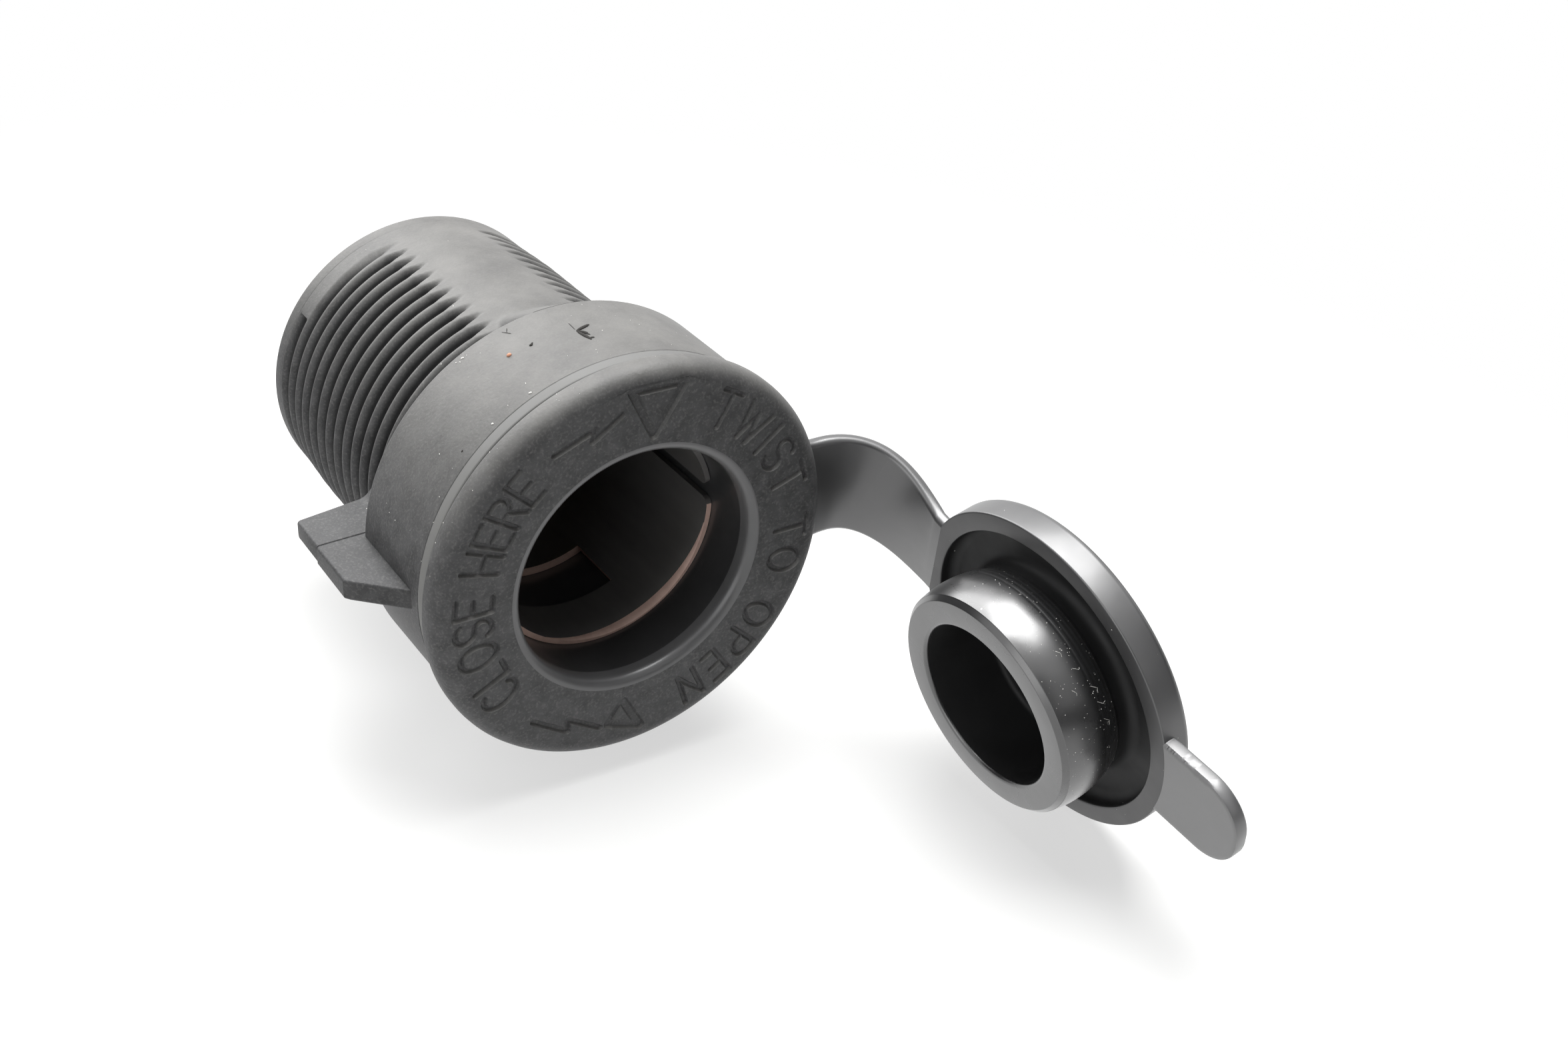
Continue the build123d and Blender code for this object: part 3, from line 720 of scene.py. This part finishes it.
sleeve = {
    "radius": 11.0, "wall": 0.5, "front": -8.3, "midFront": -5.8, "midRear": 10.0, "step": 17.8,
    "stepIn": 10.0, "floor": 21.7, "floorSide": 19.0, "boss": 4.15, "around": 160, "seamAngle": 10.0,
    "seamWidth": 1.5, "seamRound": 0.8, "seamSteps": 9, "seamFine": 0.6, "seamClear": 6, "flare": 0.32,
    "flareLong": 0.7, "flareLeast": 0.05, "flareAngle": -62, "flareHalf": 58, "lip": 0.3, "lipLong": 0.8,
    "windowFront": -2.7, "windowLength": 6.0, "windowWidth": 10.3, "windowAngle": -90.0, "dullBefore": 3,
    "dullTo": 170, "rawFrom": 0.06, "rawShare": 0.7, "slack": 0.01, "lipSlack": 0.02, "sharpDegrees": 35,
}


def flared(angle):
    # share of the sleeve's flare, widest low on the right
    off = (angle - sleeve["flareAngle"] + 180) % 360 - 180
    half = sleeve["flareHalf"]
    return max(0.0, math.cos(math.radians(off * 90 / half))) if abs(off) < half else 0.0


def makeSleeve():
    s = sleeve
    corner, slack = s["seamRound"], s["slack"]
    seamHalf = math.degrees(s["seamWidth"] / 2 / s["radius"])
    windowHalf = math.degrees(math.asin(s["windowWidth"] / 2 / s["radius"]))
    start, end = s["seamAngle"] + seamHalf, s["seamAngle"] + 360 - seamHalf
    edgeLow, edgeHigh = s["windowAngle"] + 360 - windowHalf, s["windowAngle"] + 360 + windowHalf
    fine = [k * s["seamFine"] for k in range(s["seamSteps"])]
    spread = [start + (end - start) * k / s["around"] for k in range(s["around"] + 1)]
    angles = sorted({round(angle, 4) for angle in spread + [start + k for k in fine] + [end - k for k in fine]
                     + [edgeLow, edgeHigh]})
    windowRear = s["windowFront"] + s["windowLength"]
    heights = [s["front"], s["front"] + s["flareLong"], s["midFront"], s["windowFront"], windowRear,
               windowRear + s["lipLong"], s["midRear"], s["step"]]
    mesh = bmesh.new()
    rows = []
    for i, y in enumerate(heights):
        row = []
        for angle in angles:
            rise = 0.0
            far = min(angle - start, end - angle)
            reach = math.radians(far) * s["radius"]
            if i == 0 and reach < corner:  # the seam's corners are rounded
                rise = corner - math.sqrt(max(0.0, corner ** 2 - (corner - reach) ** 2))
            if i == 1 and far >= s["seamClear"]:
                rise = -s["flareLong"] * (1 - max(s["flareLeast"], flared(angle)))
            row.append(mesh.verts.new(clock(s["radius"], angle, y + rise) * mm))
        rows.append(row)
    for radius, y in ((s["stepIn"], s["step"]), (s["stepIn"], s["floor"]), (s["boss"], s["floor"])):
        rows.append([mesh.verts.new(clock(radius, angle, y) * mm) for angle in angles])
    windowRow = heights.index(s["windowFront"])
    for i, (a, b) in enumerate(zip(rows, rows[1:])):
        for k in range(1, len(angles)):
            inWindow = edgeLow - slack < angles[k - 1] and angles[k] < edgeHigh + slack
            if i != windowRow or not inWindow:
                mesh.faces.new((a[k - 1], a[k], b[k], b[k - 1])).smooth = True
    bmesh.ops.remove_doubles(mesh, verts=mesh.verts, dist=closeGap)
    for face in mesh.faces:  # towards the axis and the mouth, so that the wall grows outwards
        middle = face.calc_center_median()
        if face.normal.dot(Vector((middle.x, min(0.0, middle.y - s["floorSide"] * mm), middle.z))) > 0:
            face.normal_flip()
    piece = linkMesh("contactSleeve", mesh, [agedCopper, cutCopper])
    wall = piece.modifiers.new("wall", "SOLIDIFY")
    wall.thickness = s["wall"] * mm
    wall.offset = 1.0
    wall.use_even_offset = True
    wall.material_offset_rim = 1
    piece = bakeNodes(piece)
    # the inside opens a little at the front, and the window's rear edge is pressed in
    for vert in piece.data.vertices:
        spot = vert.co / mm
        radius = math.hypot(spot.x, spot.z)
        angle = math.degrees(math.atan2(spot.z, spot.x)) % 360
        if radius < s["radius"] - s["wall"] / 2:
            if abs(spot.y - s["front"]) < slack:
                radius += s["flare"] * flared(angle)
            elif abs(spot.y - windowRear) < s["lipSlack"] and edgeLow + slack < angle < edgeHigh - slack:
                radius -= s["lip"]
            vert.co = clock(radius, angle, spot.y) * mm
    dullFrom = s["seamAngle"] - seamHalf - s["dullBefore"]
    for face in piece.data.polygons:  # the pale copper colour goes on the lower edges and low inside the flare; the upper edges keep the darker plate colour
        angle = math.degrees(math.atan2(face.center.z, face.center.x))
        if face.material_index == 1:
            face.material_index = 0 if dullFrom < angle < s["dullTo"] else 1
        elif flared(angle) > s["rawFrom"]:
            rawTo = s["front"] + s["flareLong"] * flared(angle) * s["rawShare"]
            face.material_index = 1 if face.center.y < rawTo * mm else 0
    piece.data.set_sharp_from_angle(angle=math.radians(s["sharpDegrees"]))
    return piece


# cap: a bulged hollow plug on a rimmed disc, with a tongue to pull it by
# the tongue's profile is (height above the rim, how far its outline is drawn in)

cap = {
    "centre": Vector((29.15, -34.05, -6.25)), "plugDir": Vector((-0.9596, -0.0127, -0.2810)).normalized(),
    "tabDir": Vector((0.0415, -0.9944, -0.0968)), "steps": 220, "radius": 15.3, "thick": 2.95,
    "edgeRound": 0.7, "rimRound": 0.16, "rimInner": 13.45, "innerRound": 0.2, "rimDepth": 1.5,
    "recessRound": 0.9, "neck": 10.0, "plugLength": 6.45, "plugRadius": 10.8, "crown": 0.56, "bulgeSteps": 56,
    "tip": 10.4, "tipChamfer": 0.42, "tipRound": 0.12, "tipOut": 0.06, "tipIn": 0.3,
    "turnedRings": (0.55, 1.0, 1.5, 2.05), "ringDeep": 0.035, "ringHalf": 0.09, "hole": 7.7, "holeDepth": 7.4,
    "holeRound": 0.35, "floorRound": 0.5, "slack": 0.05, "footWide": 0.3, "footHigh": 0.3, "recessLow": 0.1,
    "backLow": 0.2, "edgeBand": 0.1, "tabWidth": 8.8, "tabReach": 23.3, "tabRound": 4.0, "tabFoot": 14.1,
    "tabSteps": 40, "flash": 0.22, "flashSeed": 5, "flashFrom": -0.1,
    "tabProfile": [(-1.3, 0.22), (-1.23, 0.07), (-1.08, 0.0), (-0.22, 0.0), (-0.06, 0.05), (-0.005, 0.176),
                   (-0.005, 0.426)],
}
cap["tabDir"] = (cap["tabDir"] - cap["plugDir"] * cap["tabDir"].dot(cap["plugDir"])).normalized()
cap["across"] = cap["plugDir"].cross(cap["tabDir"])


def capOutline():
    c = cap
    # the bulge is a curve through the neck, the crown and the tip, with rings turned into its foot
    crown, bulge = c["crown"], []
    for k in range(c["bulgeSteps"] + 1):
        t = k / c["bulgeSteps"]
        height = c["plugLength"] * t
        turned = sum(math.exp(-((height - spot) / c["ringHalf"]) ** 2) for spot in c["turnedRings"])
        radius = (c["neck"] * (t - crown) * (t - 1) / crown
                  + c["plugRadius"] * t * (t - 1) / (crown * (crown - 1))
                  + c["tip"] * t * (t - crown) / (1 - crown))
        if height < c["plugLength"] - c["tipChamfer"]:
            bulge.append((radius - turned * c["ringDeep"], height, 0))
    floor = c["plugLength"] - c["holeDepth"]
    return roundCorners([
        (0.0, -c["thick"], 0), (c["radius"], -c["thick"], c["edgeRound"]), (c["radius"], 0, c["rimRound"]),
        (c["rimInner"], 0, c["innerRound"]), (c["rimInner"], -c["rimDepth"], c["recessRound"]),
        (c["neck"], -c["rimDepth"], c["recessRound"]), *bulge,
        (c["tip"] + c["tipOut"], c["plugLength"] - c["tipChamfer"], c["tipRound"]),
        (c["tip"] - c["tipIn"], c["plugLength"], c["tipRound"]), (c["hole"], c["plugLength"], c["holeRound"]),
        (c["hole"], floor, c["floorRound"]), (0.0, floor, 0)])


def capSpot(spot):
    # distance from the plug's axis and height above the rim
    arm = spot - cap["centre"]
    height = arm.dot(cap["plugDir"])
    return (arm - cap["plugDir"] * height).length, height


def makeCap():
    c = cap
    mesh = bmesh.new()
    spinRings(mesh, capOutline(), c["steps"], origin=c["centre"], axis=c["plugDir"], side=c["tabDir"])
    for face in mesh.faces:
        radius, height = capSpot(face.calc_center_median() / mm)
        recess = (c["neck"] - c["footWide"] < radius < c["rimInner"] + c["slack"]
                  and -c["rimDepth"] - c["recessLow"] < height < c["footHigh"])
        hollow = (radius < c["hole"] + c["slack"]
                  and -c["rimDepth"] < height < c["plugLength"] - c["holeRound"])
        outer = radius > c["rimInner"] - c["slack"] or height < -c["rimDepth"] - c["backLow"]
        edge = radius > c["radius"] - c["edgeBand"]
        face.material_index = 1 if recess or hollow else 3 if edge else 2 if outer else 0
    return finishPiece("plugCap", mesh, [vinyl, dullVinyl, rimVinyl, matteVinyl], sharpDegrees=40)


def makeTab():
    # tongue flush with the front of the rim: rounded end, soft edges, a torn flash along one edge
    c = cap
    half = c["tabWidth"] / 2
    foot, bendAt = c["tabFoot"], c["tabReach"] - c["tabRound"]
    straight = [(bendAt + (foot - bendAt) * k / c["tabSteps"], half, 0) for k in range(1, c["tabSteps"] + 1)]
    outline = roundCorners([(foot, -half, 0), (c["tabReach"], -half, c["tabRound"]),
                            (c["tabReach"], half, c["tabRound"])] + straight, steps=14)
    chance = random.Random(c["flashSeed"])
    ragged = [chance.random() * c["flash"] for spot in outline]
    mesh = bmesh.new()
    rows = []
    for height, drawn in c["tabProfile"]:
        row = []
        for (x, y), torn in zip(outline, ragged):
            inward = Vector((0, -math.copysign(1, y)))
            if x > bendAt:
                middle = Vector((bendAt, math.copysign(half - c["tabRound"], y)))
                inward = (middle - Vector((x, y))).normalized()
            if height < c["flashFrom"] or x >= bendAt or y <= 0:
                torn = 0.0
            spot = Vector((x, y)) + inward * (drawn + torn)
            row.append(mesh.verts.new((c["centre"] + c["tabDir"] * spot.x + c["across"] * spot.y
                                       + c["plugDir"] * height) * mm))
        rows.append(row)
    skinRows(mesh, rows)
    return finishPiece("capTongue", mesh, [satinVinyl], sharpDegrees=40)


# ring in the groove behind the flange

ring = {"inner": 16.7, "outer": 18.16, "front": -11.3, "thick": 1.16, "round": 0.2, "rearRound": 0.05,
        "innerRound": 0.15, "steps": 200}


def makeRing():
    r = ring
    middle, rear = r["front"] + r["thick"] / 2, r["front"] + r["thick"]
    outline = roundCorners([
        (r["inner"], middle, 0), (r["inner"], r["front"], r["innerRound"]),
        (r["outer"], r["front"], r["round"]), (r["outer"], rear, r["rearRound"]),
        (r["inner"], rear, r["innerRound"]), (r["inner"], middle, 0)])
    mesh = bmesh.new()
    spinRings(mesh, outline, r["steps"])
    return finishPiece("sealRing", mesh, [dustAndHighlightVinyl])


# strap: a flat band that bends from the ring to the cap, made in two lengths

strap = {
    "start": clock(20.15, 5.2, -11.15), "out": clock(1, 5.2), "span": Vector((8.22, -6.42, -3.57)),
    "skew": -9.5, "pull": 6.2, "ease": 1.6, "width": 10.0, "thick": 1.3, "round": 0.5, "ringRun": 2.4,
    "capRun": 1.0, "runSteps": 4, "sections": 48, "split": 0.33, "rootFlare": 0.9, "bendRun": 1.6,
}


def strapSections():
    # each section: its share of the bend, its middle, the way ahead, the way across and its width
    s = strap
    steps = s["runSteps"]
    toCap = -cap["tabDir"]
    toCap.rotate(Quaternion(cap["plugDir"], math.radians(s["skew"])))
    end = s["start"] + s["span"] - toCap * s["bendRun"]
    hold = [s["start"], s["start"] + s["out"] * s["pull"], end + toCap * (s["ease"] + s["bendRun"]), end]
    wideStart = s["out"].cross(Vector((0, 1, 0)))
    wideEnd = toCap.cross(cap["plugDir"])
    made = [(0.0, s["start"] - s["out"] * s["ringRun"] * (1 - k / steps), s["out"], wideStart,
             s["width"] + s["rootFlare"] * (1 - k / steps) ** 2) for k in range(steps)]
    for k in range(s["sections"] + 1):
        t = k / s["sections"]
        u = 1 - t
        spot = hold[0] * u ** 3 + hold[1] * 3 * u * u * t + hold[2] * 3 * u * t * t + hold[3] * t ** 3
        ahead = (hold[1] - hold[0]) * u * u + (hold[2] - hold[1]) * 2 * u * t + (hold[3] - hold[2]) * t * t
        ahead = ahead.normalized()
        wide = wideStart * u + wideEnd * t
        made.append((t, spot, ahead, (wide - ahead * wide.dot(ahead)).normalized(), s["width"]))
    return made + [(1.0, end - toCap * s["capRun"] * k / steps, -toCap, wideEnd, s["width"])
                   for k in range(1, steps + 1)]


def makeStrap(name, sections):
    thick, soft = strap["thick"] / 2, strap["round"]
    mesh = bmesh.new()
    rows = []
    for share, spot, ahead, wide, width in sections:
        up = ahead.cross(wide)
        half = width / 2
        outline = roundCorners([
            (0, -thick, 0), (half, -thick, soft), (half, thick, soft), (-half, thick, soft),
            (-half, -thick, soft), (0, -thick, 0)], steps=4)
        rows.append([mesh.verts.new((spot + wide * x + up * y) * mm) for x, y in outline[:-1]])
    skinRows(mesh, rows, closed=True)
    return finishPiece(name, mesh, [strapVinyl], sharpDegrees=50)


# lint: specks scattered over chosen faces of a piece

lintSizes = {
    "Smallest": 0.015 * mm, "Largest": 0.06 * mm, "Least Stretch": (0.5, 0.4, 0.3),
    "Most Stretch": (1.5, 0.9, 0.6),
}


def makeLintTree():
    tree, size = newTree("lintScatter", {
        "Density": "NodeSocketFloat", "Seed": "NodeSocketInt", "Smallest": "NodeSocketFloat",
        "Largest": "NodeSocketFloat", "Least Stretch": "NodeSocketVector", "Most Stretch": "NodeSocketVector",
        "Material": "NodeSocketMaterial"})
    spots = addNode(tree, "GeometryNodeDistributePointsOnFaces", {
        "Mesh": size["Geometry"], "Density": size["Density"], "Seed": size["Seed"]})
    grain = addNode(tree, "GeometryNodeMeshIcoSphere", {"Radius": 1.0, "Subdivisions": 1})
    reach = addNode(tree, "FunctionNodeRandomValue", {
        2: size["Smallest"], 3: size["Largest"], 8: size["Seed"]}, data_type="FLOAT")
    stretch = addNode(tree, "FunctionNodeRandomValue", {
        0: size["Least Stretch"], 1: size["Most Stretch"], 8: size["Seed"]}, data_type="FLOAT_VECTOR")
    scale = addNode(tree, "ShaderNodeVectorMath", {0: stretch, "Scale": reach.outputs[1]}, operation="SCALE")
    laid = addNode(tree, "GeometryNodeInstanceOnPoints", {
        "Points": spots, "Instance": grain, "Rotation": spots.outputs["Rotation"], "Scale": scale})
    return closeTree(tree, laid, size["Material"])


lintTree = makeLintTree()


def scatterLint(name, source, wanted, perSquareMm, seed):
    field = bmesh.new()
    field.from_mesh(source.data)
    unwanted = [face for face in field.faces if not wanted(face.calc_center_median() / mm, face.normal)]
    bmesh.ops.delete(field, geom=unwanted, context="FACES")
    return runTree(linkMesh(name, field), lintTree, {
        **lintSizes, "Density": perSquareMm / mm ** 2, "Seed": seed, "Material": lint})


# loose dirt on the head: (material, y, clock angle, length, width, height, turn), sizes in mm

headDirt = [
    (1, -4.68, 94.7, 0.8, 0.17, 0.1, 161), (1, -5.3, 96.0, 0.52, 0.14, 0.09, -131),
    (1, -5.9, 96.4, 0.95, 0.17, 0.08, -101), (1, -5.6, 95.6, 0.5, 0.1, 0.06, -118),
    (1, -4.0, 96.8, 0.7, 0.03, 0.03, 94), (1, -6.5, 95.2, 0.2, 0.12, 0.05, 20),
    (1, -4.37, 109.3, 0.17, 0.13, 0.08, 0), (1, -4.2, 108.7, 0.09, 0.07, 0.05, 0),
    (2, -4.1, 115.4, 0.22, 0.19, 0.14, 0), (0, -0.8, 124.2, 0.15, 0.08, 0.06, 30),
    (0, -1.0, 125.4, 0.08, 0.05, 0.04, 70), (0, -0.7, 126.2, 0.06, 0.05, 0.04, 0),
    (1, -1.3, 111.3, 0.5, 0.03, 0.03, 60), (1, -1.0, 110.7, 0.3, 0.03, 0.03, 120),
    (0, -9.6, 119.0, 0.15, 0.09, 0.07, 20), (0, -9.5, 131.0, 0.12, 0.08, 0.06, 50),
    (1, -8.9, 141.0, 0.1, 0.08, 0.05, 0),
]
dirtRise = 0.3  # share of its height by which the middle of a bit stands off the head


def makeDirt():
    mesh = bmesh.new()
    for slot, y, angle, length, width, height, turn in headDirt:
        up = clock(1, angle)
        lie = Matrix((up.cross(Vector((0, 1, 0))), Vector((0, 1, 0)), up)).transposed().to_4x4()
        place = (Matrix.Translation(clock(body["head"] + height * dirtRise, angle, y) * mm) @ lie
                 @ Matrix.Rotation(math.radians(turn), 4, "Z")
                 @ Matrix.Diagonal((length * mm, width * mm, height * mm, 1)))
        known = len(mesh.faces)
        bmesh.ops.create_icosphere(mesh, subdivisions=2, radius=1.0, matrix=place)
        mesh.faces.ensure_lookup_table()
        for face in mesh.faces[known:]:
            face.material_index = slot
            face.smooth = True
    return finishPiece("headDirt", mesh, [lint, dryLeaf, rustGrain])


# hairs on the plug: (radius, points as height above the rim and angle from the tongue)

capHairs = [
    (0.02, [(2.1, 41), (1.5, 38.5), (1.7, 36)]), (0.018, [(2.0, 33), (1.5, 30.5), (1.1, 31)]),
    (0.015, [(2.9, 52), (2.4, 50), (2.2, 51)]), (0.015, [(3.4, 62), (3.1, 60), (3.2, 58)]),
    (0.015, [(1.9, 24), (1.3, 21), (1.5, 18.5)]), (0.015, [(3.9, 44), (3.6, 42), (3.7, 40.5)]),
]
hair = {"steps": 5, "lift": 0.6, "near": 0.25, "inside": 0.5, "outside": 1.0, "corners": (0, 2.1, 4.2)}


def makeHairs():
    c = cap
    inside, outside, steps = c["neck"] - hair["inside"], c["rimInner"] - hair["outside"], hair["steps"]
    outline = [(r, h) for r, h in capOutline() if inside < r < outside]
    mesh = bmesh.new()
    for thick, points in capHairs:
        path = []
        for (h0, a0), (h1, a1) in zip(points, points[1:]):
            for k in range(steps):
                height, angle = h0 + (h1 - h0) * k / steps, math.radians(a0 + (a1 - a0) * k / steps)
                radius = max(r for r, h in outline if abs(h - height) < hair["near"]) + thick * hair["lift"]
                path.append(c["centre"] + c["plugDir"] * height
                            + (c["tabDir"] * math.cos(angle) + c["across"] * math.sin(angle)) * radius)
        rings = []
        for k, spot in enumerate(path):
            ahead = pathAhead(path, k)
            side = ahead.orthogonal().normalized()
            up = ahead.cross(side)
            rings.append([mesh.verts.new((spot + (side * math.cos(t) + up * math.sin(t)) * thick) * mm)
                          for t in hair["corners"]])
        skinRows(mesh, rings, closed=True, smooth=False)
    return finishPiece("capHairs", mesh, [lint])


# where lint lies: places in mm, and how far a face may turn away

lintFields = {
    "headOut": 17, "headRear": -0.5, "headBack": -0.5, "headUp": 0.1, "flangeOut": 17.5, "flangeFront": -13.5,
    "flangeRear": -7, "flangeLeft": -2, "flangeHigh": 2, "plugOut": 9.8, "plugLow": 0.4, "plugHigh": 6.0,
    "plugTurn": 0.3, "rimOut": 13.3,
}


def onHead(spot, normal):
    f = lintFields
    facing = normal.y > f["headBack"] and normal.z > f["headUp"]
    return facing and spot.y < f["headRear"] and math.hypot(spot.x, spot.z) > f["headOut"]


def nearFlange(spot, normal):
    f = lintFields
    upperLeft = spot.x < f["flangeLeft"] and spot.z > f["flangeHigh"]
    return (upperLeft and f["flangeFront"] < spot.y < f["flangeRear"]
            and math.hypot(spot.x, spot.z) > f["flangeOut"])


def onPlug(spot, normal):
    f = lintFields
    radius, height = capSpot(spot)
    return radius > f["plugOut"] and f["plugLow"] < height < f["plugHigh"] and normal.y < f["plugTurn"]


def onRim(spot, normal):
    return capSpot(spot)[0] > lintFields["rimOut"]


# build the pieces

socketBody = makeSocketBody()
pieces = [
    (socketBody, "socket", "socket_body", "body"), (makeThread(), "socket", None, "body"),
    (makeFin(), "socket", None, "body"),
    (scatterLint("bodyLint", socketBody, onHead, 0.07, 4), "socket", None, None),
    (scatterLint("headLint", socketBody, nearFlange, 0.18, 11), "socket", None, None),
    (makeDirt(), "socket", None, None)]
print("body: moulding, thread, fin, lint and dirt")
contactSleeve, sealRing, plugCap = makeSleeve(), makeRing(), makeCap()
pieces += [
    (contactSleeve, "socket", "contact_shell", "shell"), (sealRing, "socket", "cap_ring", "rubber"),
    (plugCap, "cap", "cap", "rubber"), (makeTab(), "cap", None, "rubber"),
    (scatterLint("plugLint", plugCap, onPlug, 1.5, 7), "cap", None, None),
    (scatterLint("rimLint", plugCap, onRim, 0.05, 3), "cap", None, None), (makeHairs(), "cap", None, None)]
print("cap: contact sleeve, ring, plug cap, tongue, lint and hairs")
for piece, rider, node, slot in pieces:
    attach(piece, rider)
    if node:
        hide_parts(node)

sections = strapSections()
cut = next(k for k, section in enumerate(sections) if section[0] >= strap["split"])
strapRoot = makeStrap("strapRoot", sections[:cut + 1])
strapTip = makeStrap("strapTip", sections[cut:])
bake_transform(strapRoot)
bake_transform(strapTip)
for piece in (strapRoot, strapTip):
    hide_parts("cap_strap")
print("strap: two lengths,", len(sections), "sections")

# carried-over CAD pieces get their materials
carried = {"centre_insulator": phenolic, "centre_contact": brass, "centre_rivet": brass,
           "ground_rivet": brass, "positive_blade": tinnedBrass, "ground_blade": tinnedBrass}
for node, material in carried.items():
    data = frame["nodes"][node].data
    data.materials.clear()
    data.materials.append(material)

# studio: pale floor, soft lights from above and behind, a weak fill, camera as in the photograph
# lights are (name, power in W, size, place), in metres

studio = {
    "floor": "#f4f4f2", "floorSize": 2.0, "floorDrop": 0.5 * mm, "floorGlow": 0.6, "glowFrom": 0.05,
    "glowTo": 0.16, "skyStrength": 0.11, "aim": Vector((0.005, 0, 0)),
    "lights": [("keyLight", 2.9, 0.30, (0.05, 0.05, 0.38)), ("rearLight", 2.1, 0.40, (-0.08, 0.38, 0.26)),
               ("fillLight", 0.65, 0.40, (-0.42, -0.22, 0.10)),
               ("frontLight", 0.09, 0.20, (0.09, -0.30, 0.17))],
    "flag": "#0c0c0c", "flagReach": 0.45, "flagHigh": 0.42, "flagFrom": 225, "flagTo": 345, "flagSteps": 24,
    "cameraSpot": Vector((-74.719, -123.712, 84.208)) * mm, "lens": 43.0585, "sensor": 36,
    "cameraTurn": Quaternion((0.8369712, 0.4540543, -0.2007170, -0.2302753)), "clip": (0.005, 20),
}


def makeFloor(low):
    s = studio
    material, tree, place = newMaterial("paleFloor")
    surface = addNode(tree, "ShaderNodeBsdfPrincipled", {"Base Color": linear(s["floor"]), "Roughness": 0.8})
    # a light table: what the camera and the gloss see of it is partly its own glow
    glow = addNode(tree, "ShaderNodeEmission", {"Strength": 1.0})
    path = addNode(tree, "ShaderNodeLightPath")
    far = addNode(tree, "ShaderNodeVectorMath", {0: place}, operation="LENGTH")
    lit = addNode(tree, "ShaderNodeMapRange", {
        "Value": far.outputs["Value"], "From Min": s["glowFrom"], "From Max": s["glowTo"],
        "To Min": s["floorGlow"], "To Max": 1.0}, interpolation_type="SMOOTHSTEP")
    seen = addNode(tree, "ShaderNodeMath", {0: path.outputs["Is Camera Ray"], 1: lit}, operation="MULTIPLY")
    share = addNode(tree, "ShaderNodeMath", {0: seen, 1: path.outputs["Is Glossy Ray"]}, operation="MAXIMUM")
    table = addNode(tree, "ShaderNodeMixShader", {0: share, 1: surface, 2: glow})
    addNode(tree, "ShaderNodeOutputMaterial", {"Surface": table})
    mesh = bmesh.new()
    bmesh.ops.create_grid(mesh, x_segments=1, y_segments=1, size=s["floorSize"])
    floor = linkMesh("floor", mesh, [material])
    floor.location = (0, 0, low - s["floorDrop"])


def makeFlag(low):
    # a dark flag stands behind the camera, so that gloss has something dark to show; the camera looks past it
    s = studio
    material, tree, place = newMaterial("blackFelt")
    setSurface(tree, {"Base Color": linear(s["flag"]), "Roughness": 1.0})
    mesh = bmesh.new()
    posts = [clock(s["flagReach"], s["flagFrom"] + (s["flagTo"] - s["flagFrom"]) * k / s["flagSteps"])
             for k in range(s["flagSteps"] + 1)]
    feet, heads = [[mesh.verts.new((v.x, v.z, height)) for v in posts] for height in (low, s["flagHigh"])]
    for k in range(s["flagSteps"]):
        mesh.faces.new((feet[k], feet[k + 1], heads[k + 1], heads[k]))
    flag = linkMesh("flag", mesh, [material])
    flag.visible_camera = False
    flag.visible_shadow = False


def makeStudio():
    s = studio
    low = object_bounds()[0].z
    makeFloor(low)
    makeFlag(low)
    # white where it is seen, weak where it lights
    scene.world = bpy.data.worlds.new("studio")
    scene.world.use_nodes = True
    tree = scene.world.node_tree
    tree.nodes.clear()
    path = addNode(tree, "ShaderNodeLightPath").outputs
    direct = addNode(tree, "ShaderNodeMath", {0: path["Is Camera Ray"], 1: path["Is Glossy Ray"]},
                     operation="MAXIMUM")
    seen = addNode(tree, "ShaderNodeMath", {0: direct, 1: path["Is Transmission Ray"]}, operation="MAXIMUM")
    strength = addNode(tree, "ShaderNodeMapRange", {"Value": seen, "To Min": s["skyStrength"], "To Max": 1.0})
    sky = addNode(tree, "ShaderNodeBackground", {"Color": (1, 1, 1, 1), "Strength": strength})
    addNode(tree, "ShaderNodeOutputWorld", {"Surface": sky})
    for name, power, size, spot in s["lights"]:
        lamp = bpy.data.lights.new(name, "AREA")
        lamp.energy = power
        lamp.size = size
        stand = bpy.data.objects.new(name, lamp)
        stand.location = spot
        stand.rotation_euler = (s["aim"] - stand.location).to_track_quat("-Z", "Y").to_euler()
        scene.collection.objects.link(stand)
    camera = bpy.data.cameras.new("camera")
    camera.sensor_width = s["sensor"]
    camera.lens = s["lens"]
    camera.clip_start, camera.clip_end = s["clip"]
    eye = bpy.data.objects.new("camera", camera)
    eye.location = s["cameraSpot"]
    eye.rotation_mode = "QUATERNION"
    eye.rotation_quaternion = s["cameraTurn"]
    scene.collection.objects.link(eye)
    scene.camera = eye
    scene.view_settings.view_transform = "Standard"


makeStudio()
print("studio: floor, flag, lights and camera")
